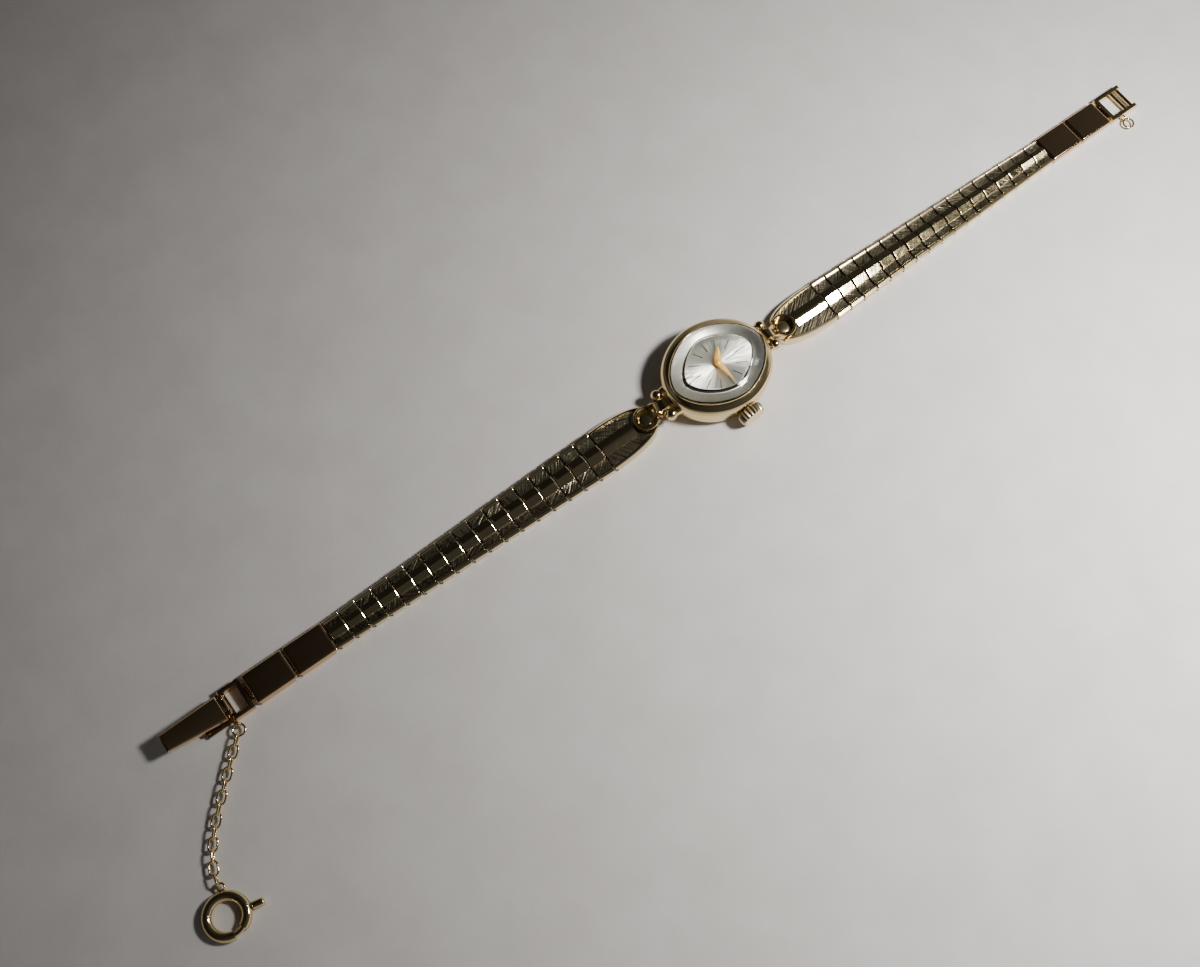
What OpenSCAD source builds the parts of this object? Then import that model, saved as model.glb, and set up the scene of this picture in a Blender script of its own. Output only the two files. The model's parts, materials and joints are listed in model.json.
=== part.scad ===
// Ladies' hand-wound dress watch on a tapered link bracelet with a safety chain.
// Frame: origin under the dial's centre on the case back's flat face, +X towards the
// crown, +Y towards 12 o'clock along the bracelet, +Z out of the dial. Millimetres.

/* [Case] */
// Half length of the case, along the bracelet
case_half_l = 8.4; // [8.2:0.1:8.8]
// Half width of the case, towards the crown
case_half_w = 7.2; // [7:0.1:7.6]
// Thickness of the case wall outside the movement
case_wall = 1.1; // [1.0:0.05:1.3]
// Thickness of the snap-on case back
back_t = 0.75; // [0.6:0.05:0.9]
// Half length of the crystal
crystal_half_l = 7.4; // [7.2:0.05:7.5]
// Half width of the crystal
crystal_half_w = 5.75; // [5.6:0.05:5.9]
// Height of the crystal above the dial
crystal_h = 1.9; // [1.7:0.05:2.3]
// Thickness of the glass over the hands
crystal_roof_t = 0.75; // [0.6:0.05:0.85]
// Radius of the crown
crown_r = 1.9; // [1.6:0.05:2]
// Length of the crown
crown_l = 1.5; // [1.2:0.05:1.9]
// Number of flutes round the crown
crown_flutes = 28; // [20:1:34]
// Distance that the crown pulls out to set the hands
crown_pull = 0.6; // [0.4:0.05:0.8]

/* [Lugs and connectors] */
// Distance from the case's end to each lug bar
lug_reach = 0.85; // [0.8:0.05:1]
// Height of the lug bars
lug_z = 2.6; // [2.4:0.05:2.8]
// Radius of the rounded lug nubs
nub_r = 0.85; // [0.75:0.05:0.95]
// Radius of a lug bar
lug_bar_r = 0.35; // [0.3:0.01:0.38]
// Width of the connector's ribbon
ribbon_w = 1.6; // [1.3:0.05:1.7]
// Thickness of the connector's ribbon
ribbon_t = 0.35; // [0.3:0.01:0.4]
// Outer radius of the connector's ring
ring_r = 1.8; // [1.6:0.05:1.9]
// Distance from the lug bar to the ring's post
connector_l = 3.15; // [2.95:0.05:3.35]

/* [Bracelet] */
// Number of patterned links in each half
links_per_half = 17; // [17]
// Length of one patterned link
link_pitch = 2.6; // [2.5:0.05:2.8]
// Distance from the ring's post to the first link
end_piece_l = 7.65; // [7.2:0.05:8.1]
// Half width of the bracelet at the head
half_w_head = 3.4; // [3.2:0.05:3.6]
// Half width of the bracelet at the plain links
half_w_clasp = 2.15; // [2.1:0.05:2.3]
// Thickness of a link at its textured panels
link_t = 1.35; // [1.25:0.05:1.45]
// Height of the polished centre ridge above the panels, at the head
ridge_h = 0.45; // [0.35:0.01:0.55]
// Gap between two links
link_gap = 0.12; // [0.1:0.01:0.16]
// Height of a link's hinge pin
pin_z = 0.52; // [0.5:0.01:0.55]
// Radius of a link's hinge pin
pin_r = 0.16; // [0.14:0.01:0.18]
// Radius of a link's hinge barrel
barrel_r = 0.36; // [0.32:0.01:0.38]
// Length of one plain link
plain_l = 6.15; // [5.9:0.05:6.4]
// Half width of the plain links
plain_half_w = 2.25; // [2.2:0.01:2.4]
// Height of the end piece's tip, where it is deepest
end_tip_t = 1.95; // [1.8:0.05:2.1]

/* [Clasp] */
// Length of the ladder's rails
ladder_l = 5.2; // [5:0.1:5.8]
// Radius of the ladder's rungs
rung_r = 0.3; // [0.25:0.01:0.35]
// Width of each side rail of the ladder and of the clasp frame
rail_w = 0.55; // [0.5:0.01:0.65]
// Distance between the clasp frame's pin and the leaf's pin
frame_l = 3.4; // [3.2:0.05:3.6]
// Length of the fold-over leaf
leaf_l = 8.8; // [8:0.1:9.4]
// Half width of the leaf at its hinge
leaf_half_w = 1.75; // [1.7:0.01:1.9]
// Half width of the leaf at its tip
leaf_tip_half_w = 1.25; // [1.15:0.01:1.5]
// Tilt of the open leaf above the table in degrees
leaf_tilt = 8; // [6:0.5:10]

/* [Safety chain] */
// Outer length of a chain link
chain_link_l = 2.1; // [2:0.05:2.15]
// Outer width of a chain link
chain_link_w = 1.4; // [1.35:0.01:1.45]
// Radius of the chain's wire
wire_r = 0.15; // [0.14:0.01:0.16]
// Outer radius of the spring ring
clasp_ring_r = 3.1; // [3:0.05:3.3]
// Radius of the spring ring's tube
tube_r = 0.65; // [0.62:0.01:0.68]
// Radius of the sliding bolt inside the tube
bolt_r = 0.36; // [0.33:0.01:0.38]
// Angle that the bolt slides along the ring in degrees
bolt_travel = 32; // [25:1:34]

/* [Hands] */
// Length of the minute hand
minute_hand_l = 3.7; // [3.4:0.05:3.8]
// Length of the hour hand
hour_hand_l = 2.5; // [2.2:0.05:2.8]
// Angle of the minute hand, clockwise from 12
minute_angle = 87; // [0:1:359]
// Angle of the hour hand, clockwise from 12
hour_angle = 307; // [0:1:359]

/* [Hidden] */
$fn = 48;

// Clearances
seat = 0.05;        // between a piece and the face that it sits on
turn = 0.03;        // round a turning pin, on the radius
slack = 0.1;        // round a loose or snapped-in piece
over = 0.01;        // how far a cut runs past the face that it opens
bite = 0.02;        // how far two features of one solid run into each other

// Heights, from the table up
wheel_t = 0.2;                                // ratchet and crown wheel
keyless_z = back_t + 0.3;                     // underside of the ratchet wheel
bridge_z = keyless_z + wheel_t + seat;        // underside of the train bridge
bridge_t = 0.45;
train_z = bridge_z + bridge_t;                // underside of the going train's space
train_h = 1.0;
plate_z = train_z + train_h;                  // underside of the main plate
plate_t = 0.75;
motion_z = plate_z + plate_t;                 // floor of the recess under the dial
motion_h = 0.45;
dial_z = motion_z + motion_h;                 // underside of the dial
dial_t = 0.2;
dial_top = dial_z + dial_t;
stem_z = train_z + 0.35;                      // axis of the winding stem
wall_top = dial_z - 0.3;                      // top edge of the case's side wall
crystal_z = dial_top + seat;                  // underside of the crystal
crystal_top = crystal_z + crystal_h;
cavity_h = crystal_h - crystal_roof_t;        // room for the hands under the glass
hour_z = dial_top + 0.3;                      // underside of the hour hand
hand_t = 0.08;
minute_z = hour_z + hand_t + 0.2;             // underside of the minute hand

// Places along the bracelet, from the dial's centre
lug_y = case_half_l + lug_reach;              // lug bars
post_y = lug_y + connector_l;                 // posts that the connectors' rings turn on
first_link_y = post_y + end_piece_l;          // first hinge

// Outlines
facets = 64;                                  // points round an oval
move_half_w = case_half_w - case_wall - slack;
move_half_l = case_half_l - case_wall - slack;
ledge = 0.3;                                  // width of the ledge that carries the movement

// Oval whose half sizes are a and b. Power 2 is an ellipse; less draws its ends to points.
function oval(a, b, z = 0, power = 2, n = facets) = [
  for (i = [0:n - 1])
    let (t = 360 * i / n, c = cos(t), s = sin(t))
    [a * sign(c) * pow(abs(c), 2 / power), b * sign(s) * pow(abs(s), 2 / power), z]];

function flat(points) = [for (p = points) [p[0], p[1]]];

// Solid through a list of rings that have the same number of points
module loft(rings) {
  n = len(rings[0]);
  m = len(rings);
  polyhedron(
    points = [for (r = rings) each r],
    faces = concat(
      [[for (i = [0:n - 1]) i]],
      [for (j = [0:m - 2]) for (i = [0:n - 1])
        let (a = j * n + i, b = j * n + (i + 1) % n) [a, a + n, b + n, b]],
      [[for (i = [n - 1:-1:0]) (m - 1) * n + i]]),
    convexity = 6);
}

module disc(r, h, z = 0) {
  translate([0, 0, z]) cylinder(r = r, h = h);
}

module at(p) {
  translate([p[0], p[1], 0]) children();
}

// Cylinder along X, centred on x = 0
module bar_x(r, l, y = 0, z = 0) {
  translate([-l / 2, y, z]) rotate([0, 90, 0]) cylinder(r = r, h = l);
}

module half_ring(major, minor, angle = 180) {
  rotate_extrude(angle = angle) translate([major, 0]) circle(r = minor, $fn = 24);
}

// The half of the bracelet at 6 o'clock mirrors the one at 12
module half(side) {
  mirror([0, side < 0 ? 1 : 0, 0]) children();
}

// Case

pocket_top = wall_top + 1;
lug_arm_w = 1.0;
lug_arm_l = 1.6;

module lugs() {
  for (sx = [-1, 1], sy = [-1, 1]) {
    x = sx * (ribbon_w / 2 + slack + nub_r);
    translate([x, sy * lug_y, lug_z]) rotate([0, 90, 0]) sphere(r = nub_r, $fn = 32);
    translate([x, sy * (lug_y - lug_arm_l / 2), lug_z])
      cube([lug_arm_w, lug_arm_l, lug_arm_w], center = true);
  }
  for (sy = [-1, 1])
    bar_x(lug_bar_r, ribbon_w + 2 * slack + nub_r, sy * lug_y, lug_z);
}

module case_middle() {
  w = case_half_w;
  l = case_half_l;
  color("gold") difference() {
    union() {
      loft([
        oval(w - 0.35, l - 0.35, back_t + seat, 1.94),
        oval(w - 0.1, l - 0.1, back_t + 0.5, 1.94),
        oval(w, l, back_t + 1.3, 1.94),
        oval(w, l, wall_top - 0.25, 1.94),
        oval(w - 0.08, l - 0.08, wall_top, 1.94)]);
      lugs();
    }
    translate([0, 0, plate_z - seat])
      linear_extrude(pocket_top) polygon(flat(oval(move_half_w + slack, move_half_l + slack)));
    translate([0, 0, -1]) linear_extrude(pocket_top + 1)
      polygon(flat(oval(move_half_w - ledge, move_half_l - ledge)));
    translate([0, 0, stem_z]) rotate([0, 90, 0]) cylinder(r = stem_tube_r, h = w + 1);
  }
}

module case_back() {
  w = case_half_w;
  l = case_half_l;
  rim_w = move_half_w - ledge - slack;
  rim_l = move_half_l - ledge - slack;
  color("goldenrod") union() {
    linear_extrude(back_t * 0.4) polygon(flat(oval(w - 1, l - 1, 0, 1.94)));
    loft([
      oval(w - 1, l - 1, back_t * 0.4 - bite, 1.94),
      oval(w - 0.5, l - 0.5, back_t * 0.8, 1.94),
      oval(w - 0.4, l - 0.4, back_t, 1.94)]);
    translate([0, 0, back_t - bite]) linear_extrude(keyless_z - back_t - slack) difference() {
      polygon(flat(oval(rim_w, rim_l)));
      polygon(flat(oval(rim_w - 0.3, rim_l - 0.3)));
    }
  }
}

bezel_lip = 0.3;        // width of the steep lip outside the sloping shoulder
bezel_lip_h = 0.4;      // height that the steep lip climbs
bezel_foot_h = 0.15;    // upright foot under the lip
bezel_rim = 0.22;       // thickness of the upright rim about the crystal
bezel_rim_h = 0.18;     // height of that rim above the shoulder
crystal_seat = 0.6;     // height of the wall that grips the crystal

module bezel() {
  w = case_half_w - 0.06;
  l = case_half_l - 0.06;
  top = crystal_z + crystal_seat;
  lip_z = wall_top + bezel_foot_h;
  color("gold") difference() {
    loft([
      oval(w, l, wall_top + seat, 1.94),
      oval(w, l, lip_z, 1.94),
      oval(w - bezel_lip, l - bezel_lip * 0.85, lip_z + bezel_lip_h, 1.93),
      oval(w - bezel_lip - 0.07, l - bezel_lip * 0.85 - 0.05, lip_z + bezel_lip_h + 0.02, 1.92),
      oval(crystal_half_w + bezel_rim + 0.07, crystal_half_l + bezel_rim + 0.05,
        top - bezel_rim_h, 1.79),
      oval(crystal_half_w + bezel_rim, crystal_half_l + bezel_rim, top, 1.78)]);
    loft([
      oval(crystal_half_w + seat, crystal_half_l + seat, dial_top, 1.76),
      oval(crystal_half_w + seat, crystal_half_l + seat, top + 1, 1.76)]);
    translate([0, 0, wall_top])
      linear_extrude(dial_top + seat - wall_top)
        polygon(flat(oval(move_half_w + slack, move_half_l + slack)));
  }
}

cavity_half_w = 4.35;   // the glass is cut away over the dial to a pointed oval
cavity_half_l = 5.7;
cavity_power = 1.6;

module crystal() {
  w = crystal_half_w;
  l = crystal_half_l;
  color([0.85, 0.92, 0.95, 0.35]) difference() {
    loft([
      oval(w, l, crystal_z, 1.76),
      oval(w, l, crystal_z + crystal_seat + 0.1, 1.76),
      oval(w - 0.16, l - 0.18, crystal_z + crystal_seat + 0.32, 1.76),
      oval(w - 0.7, l - 0.85, crystal_top - 0.42, 1.72),
      oval(w * 0.62, l * 0.62, crystal_top - 0.12, 1.75),
      oval(w * 0.28, l * 0.28, crystal_top, 1.85)]);
    loft([
      oval(cavity_half_w, cavity_half_l, crystal_z - 1, cavity_power),
      oval(cavity_half_w, cavity_half_l, crystal_z + 0.1, cavity_power),
      oval(cavity_half_w - 0.3, cavity_half_l - 0.4, crystal_z + cavity_h, cavity_power)]);
  }
}

marker_in = 0.52;       // where the hour lines start and end, as shares of the opening
marker_out = 0.86;
marker_t = 0.03;

module dial() {
  color("silver") difference() {
    union() {
      translate([0, 0, dial_z + seat]) linear_extrude(dial_t - seat)
        polygon(flat(oval(move_half_w - 0.3, move_half_l - 0.3, 0, 1.9)));
      for (h = [0:11]) {
        t = 90 - 30 * h;
        c = abs(cos(t)) / cavity_half_w;
        s = abs(sin(t)) / cavity_half_l;
        reach = pow(pow(c, cavity_power) + pow(s, cavity_power), -1 / cavity_power);
        width = h % 3 == 0 ? 0.14 : 0.07;
        rotate([0, 0, t]) translate([reach * marker_in, -width / 2, dial_top - bite])
          cube([reach * (marker_out - marker_in), width, marker_t + bite]);
      }
    }
    disc(hour_tube_r + slack, 1, dial_z);
  }
}

// Going train: wheels from the barrel to the escapement, each with its tooth count,
// its tooth module, and the angle at which it stands from the wheel before it

barrel_teeth = 50;
barrel_module = 0.12;
centre_leaves = 8;
centre_teeth = 48;
centre_module = 0.1;
third_leaves = 6;
third_teeth = 45;
third_module = 0.085;
fourth_leaves = 6;
fourth_teeth = 60;
fourth_module = 0.06;
escape_leaves = 6;
escape_teeth = 15;
escape_r = 1.0;
crown_wheel_teeth = 38;
ratchet_teeth = 55;
keyless_module = 0.1;
cannon_leaves = 10;
minute_teeth = 30;
minute_leaves = 8;
hour_teeth = 32;
motion_module = 0.06;

function polar(r, a) = [r * cos(a), r * sin(a)];
function mesh_r(n_a, n_b, m) = (n_a + n_b) * m / 2;

// Turn of the second wheel that puts its gap at the first wheel's tooth
function mesh_phase(theta, phase_a, n_a, n_b) =
  theta + 180 - (phase_a - theta) * n_a / n_b - 180 / n_b;

centre_pos = [0, 0];
crown_wheel_pos = [2.6, 0];
barrel_reach = mesh_r(barrel_teeth, centre_leaves, barrel_module);
ratchet_reach = mesh_r(ratchet_teeth, crown_wheel_teeth, keyless_module);
barrel_x = (pow(barrel_reach, 2) - pow(ratchet_reach, 2) + pow(crown_wheel_pos[0], 2))
  / (2 * crown_wheel_pos[0]);
barrel_pos = [barrel_x, sqrt(pow(barrel_reach, 2) - pow(barrel_x, 2))];
barrel_angle = atan2(barrel_pos[1], barrel_pos[0]);
third_angle = 225;
third_pos = polar(mesh_r(centre_teeth, third_leaves, centre_module), third_angle);
fourth_angle = -20;
fourth_pos = third_pos + polar(mesh_r(third_teeth, fourth_leaves, third_module), fourth_angle);
escape_angle = -35;
escape_pos = fourth_pos + polar(mesh_r(fourth_teeth, escape_leaves, fourth_module), escape_angle);
balance_pos = [-0.55, -4.85];
balance_r = 1.75;
line_angle = atan2(balance_pos[1] - escape_pos[1], balance_pos[0] - escape_pos[0]);
fork_reach = 1.32;                            // from the escape wheel to the fork's pivot
fork_pos = escape_pos + polar(fork_reach, line_angle);
minute_pos = polar(mesh_r(cannon_leaves, minute_teeth, motion_module), 200);
pivot_r = 0.1;
arbor_r = 0.15;
jewel_hole_r = pivot_r + turn;

barrel_z = train_z + 0.1;
barrel_h = 0.55;
third_wheel_z = train_z + 0.3;
fourth_wheel_z = train_z + 0.6;
centre_wheel_z = train_z + 0.75;
escape_wheel_z = train_z + 0.2;
train_wheel_t = 0.1;

module gear(teeth, m, t, phase = 0) {
  r = teeth * m / 2;
  linear_extrude(t) polygon([
    for (i = [0:teeth - 1]) for (k = [-0.34, -0.14, 0.14, 0.34])
      let (a = phase + 360 / teeth * (i + k), reach = r + (abs(k) < 0.2 ? 0.85 : -1.1) * m)
      polar(reach, a)]);
}

// Wheel with four spoke windows
module spoked(teeth, m, t, rim, hub) {
  r = teeth * m / 2;
  difference() {
    gear(teeth, m, t);
    for (i = [0:3]) rotate([0, 0, 90 * i + 45]) translate([0, 0, -over])
      linear_extrude(t + 2 * over) difference() {
        intersection() {
          circle(r = r - rim);
          polygon([polar(hub, -45), polar(r * 1.3, -36), polar(r * 1.3, 36), polar(hub, 45)]);
        }
        circle(r = hub + 0.15);
      }
  }
}

// Arbor with a pivot at each end, from z0 to z1
module arbor(z0, z1, r = arbor_r) {
  disc(pivot_r, z1 - z0, z0);
  disc(r, plate_z - train_z - 2 * seat, train_z + seat);
}

pivot_low = bridge_z + bridge_t * 0.4;
pivot_high = plate_z + plate_t * 0.5;

module mainspring_barrel() {
  color("gold") at(barrel_pos) difference() {
    union() {
      disc(barrel_teeth * barrel_module / 2 - 0.25, barrel_h, barrel_z);
      translate([0, 0, barrel_z]) gear(barrel_teeth, barrel_module, 0.16);
    }
    disc(barrel_core_r + turn, barrel_h + 1, barrel_z - 0.5);
    disc(barrel_room_r, barrel_h - 0.24, barrel_z + 0.12);
  }
}

barrel_core_r = 0.4;
barrel_room_r = 2.55;
spring_turns = 6;
spring_t = 0.06;

module mainspring() {
  steps = spring_turns * 20;
  r_in = barrel_core_r + 0.25;
  r_out = barrel_room_r - spring_t - seat;
  function spiral_r(i) = r_in + (r_out - r_in) * i / steps;
  color("lightsteelblue") at(barrel_pos) translate([0, 0, barrel_z + 0.12 + seat])
    linear_extrude(barrel_h - 0.24 - 2 * seat) polygon(concat(
      [for (i = [0:steps]) polar(spiral_r(i), 18 * i)],
      [for (i = [steps:-1:0]) polar(spiral_r(i) + spring_t, 18 * i)]));
}

module ratchet_wheel() {
  color("silver") at(barrel_pos) union() {
    translate([0, 0, keyless_z])
      gear(ratchet_teeth, keyless_module, wheel_t, ratchet_phase);
    disc(barrel_core_r, pivot_high - keyless_z, keyless_z);
  }
}

crown_wheel_angle = atan2(barrel_pos[1], barrel_pos[0] - crown_wheel_pos[0]);
ratchet_phase = mesh_phase(crown_wheel_angle, 0, crown_wheel_teeth, ratchet_teeth);

module crown_wheel() {
  color("silver") at(crown_wheel_pos) translate([0, 0, keyless_z]) difference() {
    gear(crown_wheel_teeth, keyless_module, wheel_t);
    disc(screw_r + turn, 1, -0.5);
  }
}

click_turn = 5;
click_pos = barrel_pos + polar(ratchet_teeth * keyless_module / 2 + 1, 212);

module click() {
  a = 32;
  color("silver") at(click_pos) translate([0, 0, keyless_z]) difference() {
    union() {
      cylinder(r = 0.42, h = wheel_t);
      linear_extrude(wheel_t)
        polygon([polar(0.42, a + 90), polar(0.88, a + 12), polar(0.88, a - 8), polar(0.42, a - 90)]);
    }
    disc(screw_r + turn, 1, -0.5);
  }
}

module centre_wheel() {
  color("gold") union() {
    translate([0, 0, centre_wheel_z])
      spoked(centre_teeth, centre_module, train_wheel_t, 0.35, 0.5);
    translate([0, 0, barrel_z - 0.05])
      gear(centre_leaves, barrel_module, centre_wheel_z - barrel_z,
        mesh_phase(barrel_angle + 180, 0, barrel_teeth, centre_leaves));
    disc(pivot_r, minute_z - pivot_low, pivot_low);
  }
}

module third_wheel() {
  color("gold") at(third_pos) union() {
    translate([0, 0, third_wheel_z]) spoked(third_teeth, third_module, train_wheel_t, 0.3, 0.4);
    translate([0, 0, third_wheel_z]) gear(third_leaves, centre_module, train_h - 0.35,
      mesh_phase(third_angle, 0, centre_teeth, third_leaves));
    arbor(pivot_low, pivot_high);
  }
}

module fourth_wheel() {
  color("gold") at(fourth_pos) union() {
    translate([0, 0, fourth_wheel_z])
      spoked(fourth_teeth, fourth_module, train_wheel_t, 0.28, 0.35);
    translate([0, 0, third_wheel_z - 0.1]) gear(fourth_leaves, third_module, 0.45,
      mesh_phase(fourth_angle, 0, third_teeth, fourth_leaves));
    arbor(pivot_low, pivot_high);
  }
}

escape_root = 0.72;     // root of the escape wheel's teeth, as a share of its radius

module escape_wheel() {
  step = 360 / escape_teeth;
  color("lightsteelblue") at(escape_pos) union() {
    translate([0, 0, escape_wheel_z]) linear_extrude(train_wheel_t) difference() {
      polygon([for (i = [0:escape_teeth - 1]) each [
        polar(escape_r * escape_root, step * i),
        polar(escape_r, step * (i + 0.3)),
        polar(escape_r * 0.97, step * (i + 0.48)),
        polar(escape_r * escape_root, step * (i + 0.42))]]);
      for (i = [0:3]) rotate([0, 0, 90 * i]) translate([escape_r * 0.42, 0]) circle(r = 0.16);
    }
    translate([0, 0, escape_wheel_z]) gear(escape_leaves, fourth_module, 0.6,
      mesh_phase(escape_angle, 0, fourth_teeth, escape_leaves));
    disc(pivot_r * 0.8, pivot_high - pivot_low, pivot_low);
  }
}

fork_l = 1.02;          // from the fork's pivot to its slot
fork_rock = 4;          // how far the fork rocks to each side, in degrees

module pallet_fork() {
  color("silver") at(fork_pos) rotate([0, 0, line_angle]) union() {
    translate([0, 0, escape_wheel_z]) linear_extrude(train_wheel_t) {
      circle(r = 0.2);
      translate([0, -0.07]) square([fork_l - 0.15, 0.14]);
      for (s = [-1, 1]) polygon([
        [fork_l - 0.25, s * 0.05], [fork_l - 0.2, s * 0.17], [fork_l, s * 0.15],
        [fork_l, s * 0.07], [fork_l - 0.12, s * 0.07]]);
      for (s = [-1, 1]) polygon([
        [0.1, 0], [0.1, s * 0.15], [-0.35, s * 0.75], [-0.62, s * 0.8], [-0.62, s * 0.68],
        [-0.4, s * 0.6], [-0.12, s * 0.1], [-0.12, 0]]);
    }
    disc(pivot_r, plate_z + 0.2 - cock_z, cock_z);
  }
}

cock_z = train_z + seat;                      // pallet cock, on the train bridge
cock_t = 0.1;

balance_z = bridge_z + 0.15;
balance_t = 0.25;
roller_r = 0.3;

module balance_wheel() {
  color("gold") at(balance_pos) union() {
    translate([0, 0, balance_z]) linear_extrude(balance_t) {
      difference() {
        circle(r = balance_r);
        circle(r = balance_r - 0.25);
      }
      rotate(20) square([2 * balance_r - 0.2, 0.22], center = true);
      circle(r = 0.28);
    }
    disc(pivot_r, pivot_high - cock_arm_z - 0.1, cock_arm_z + 0.1);
    disc(arbor_r, escape_wheel_z + 0.4 - balance_z, balance_z);
    disc(roller_r, 0.12, escape_wheel_z + train_wheel_t + 0.08);
    translate(concat(polar(balance_pin_r, line_angle + 180), [escape_wheel_z]))
      cylinder(r = 0.045, h = 0.3, $fn = 16);
  }
}

balance_pin_r = 0.25;
balance_swing = 135;

module hairspring() {
  turns = 7;
  steps = turns * 16;
  thick = 0.03;
  function spiral_r(i) = pivot_r + 0.09 + (1.05 - pivot_r) * i / steps;
  color("lightsteelblue") at(balance_pos) translate([0, 0, balance_z - 0.13]) {
    difference() {
      union() {
        linear_extrude(0.1) polygon(concat(
          [for (i = [0:steps]) polar(spiral_r(i), 22.5 * i)],
          [for (i = [steps:-1:0]) polar(spiral_r(i) + thick, 22.5 * i)]));
        disc(pivot_r + 0.12, 0.1);
      }
      disc(pivot_r, 1, -0.5);
    }
  }
}

// Plates and cocks

screw_r = 0.2;
screw_head_r = 0.42;
screw_head_h = 0.2;
pillar_r = 0.55;
pillars = [[3.85, 3.2], [-4.5, 0.3], [3.9, -2.5]];
cock_foot = [-3.45, -4.25];
cock_foot_r = 0.6;
cock_arm_z = bridge_z - 0.2;
cock_arm_t = 0.18;
stem_pocket_x = 2.85;
stem_pocket_w = 1.95;

module arbor_holes(z, h, at_positions) {
  for (p = at_positions) at(p) disc(jewel_hole_r, h, z);
}

module main_plate() {
  color("silver") difference() {
    union() {
      translate([0, 0, plate_z]) linear_extrude(plate_t + motion_h)
        polygon(flat(oval(move_half_w, move_half_l)));
      for (p = pillars) at(p) disc(pillar_r, train_h + bite, train_z);
      at(cock_foot) disc(cock_foot_r, plate_z - foot_z + bite, foot_z);
    }
    disc(2.5, motion_h + 1, motion_z);
    at(barrel_pos) disc(barrel_core_r + turn, plate_t, plate_z - over);
    arbor_holes(plate_z - over, plate_t + 1, [third_pos, fourth_pos, escape_pos]);
    at(fork_pos) disc(jewel_hole_r, plate_t, plate_z - over);
    at(balance_pos) disc(jewel_hole_r, plate_t, plate_z - over);
    disc(jewel_hole_r, plate_t + 1, plate_z - over);
    for (p = pillars) at(p) disc(screw_r, 0.8, train_z - over);
    at(cock_foot) disc(screw_r, 0.8, foot_z - over);
    translate([stem_pocket_x, -stem_pocket_w / 2, plate_z - 1])
      cube([move_half_w, stem_pocket_w, 1 + stem_z + winding_r + slack - plate_z]);
  }
}

foot_z = cock_arm_z + cock_arm_t + 0.3;       // face between the balance cock and the plate
bridge_end_y = -4.5;                          // the train bridge stops here, at the balance

module train_bridge() {
  color("silver") difference() {
    translate([0, 0, bridge_z]) linear_extrude(bridge_t) difference() {
      intersection() {
        polygon(flat(oval(move_half_w - 0.4, move_half_l - 0.4)));
        translate([-move_half_w, bridge_end_y])
          square([2 * move_half_w, move_half_l - bridge_end_y]);
      }
      at(balance_pos) circle(r = balance_r + 0.15);
      at(cock_foot) circle(r = cock_foot_r + slack);
      translate([stem_pocket_x, -stem_pocket_w / 2]) square([move_half_w, stem_pocket_w]);
    }
    at(barrel_pos) disc(barrel_core_r + turn, 1, bridge_z - over);
    arbor_holes(bridge_z - over, 1, [centre_pos, third_pos, fourth_pos, escape_pos]);
    for (p = pillars) at(p) disc(screw_r + turn, 1, bridge_z - over);
    for (p = [crown_wheel_pos, click_pos]) at(p) disc(screw_r, 1, bridge_z - over);
  }
}

module balance_cock() {
  color("silver") difference() {
    union() {
      at(cock_foot) disc(cock_foot_r, foot_z - cock_arm_z - seat, cock_arm_z);
      at(balance_pos) disc(0.5, cock_arm_t, cock_arm_z);
      translate([0, 0, cock_arm_z]) linear_extrude(cock_arm_t)
        polygon([
          cock_foot + [0.1, -0.55], balance_pos + [0, -0.45],
          balance_pos + [0, 0.45], cock_foot + [0.1, 0.55]]);
    }
    at(balance_pos) disc(jewel_hole_r, 1, cock_arm_z - over);
    at(cock_foot) disc(screw_r + turn, 1, cock_arm_z - over);
  }
}

pallet_foot = [1.35, -2.55];

module pallet_cock() {
  color("silver") difference() {
    union() {
      at(fork_pos) disc(0.25, cock_t, cock_z);
      at(pallet_foot) disc(0.35, cock_t, cock_z);
      translate([0, 0, cock_z]) linear_extrude(cock_t) polygon([
        fork_pos + [0.2, 0], pallet_foot + [0.3, 0], pallet_foot - [0.3, 0], fork_pos - [0.2, 0]]);
    }
    at(fork_pos) disc(jewel_hole_r, 1, cock_z - 0.5);
  }
}

module screw(z, l) {
  disc(screw_head_r, screw_head_h, z);
  disc(screw_r - turn, l, z);
}

module movement_screws() {
  color("lightsteelblue") {
    for (p = pillars) at(p) screw(bridge_z - screw_head_h - over, bridge_t + 0.8);
    at(cock_foot) screw(cock_arm_z - screw_head_h - over, 1.2);
    for (p = [crown_wheel_pos, click_pos]) at(p) {
      disc(screw_head_r * 0.8, 0.1, keyless_z - 0.12);
      disc(screw_r - turn, wheel_t + 0.4, keyless_z - 0.1);
    }
  }
}

// Hands and motion work

cannon_r = 0.24;
hour_tube_r = 0.4;

module cannon_pinion() {
  color("lightsteelblue") difference() {
    union() {
      disc(cannon_r, minute_z + hand_t - motion_z - seat, motion_z + seat);
      translate([0, 0, motion_z + seat]) gear(cannon_leaves, motion_module, 0.18);
    }
    disc(pivot_r + turn, 3, motion_z);
  }
}

module minute_wheel() {
  color("gold") at(minute_pos) difference() {
    union() {
      translate([0, 0, motion_z + seat]) gear(minute_teeth, motion_module, 0.12,
        mesh_phase(200, 0, cannon_leaves, minute_teeth));
      translate([0, 0, motion_z + seat]) gear(minute_leaves, motion_module, motion_h - 2 * seat);
    }
    disc(0.1, 1, motion_z);
  }
}

module hour_wheel() {
  color("gold") difference() {
    union() {
      translate([0, 0, motion_z + 0.26]) gear(hour_teeth, motion_module, 0.12,
        mesh_phase(20, 0, minute_leaves, hour_teeth));
      disc(hour_tube_r - seat, hour_z + hand_t - motion_z - 0.26, motion_z + 0.26);
    }
    disc(cannon_r + turn, 3, motion_z);
  }
}

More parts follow.
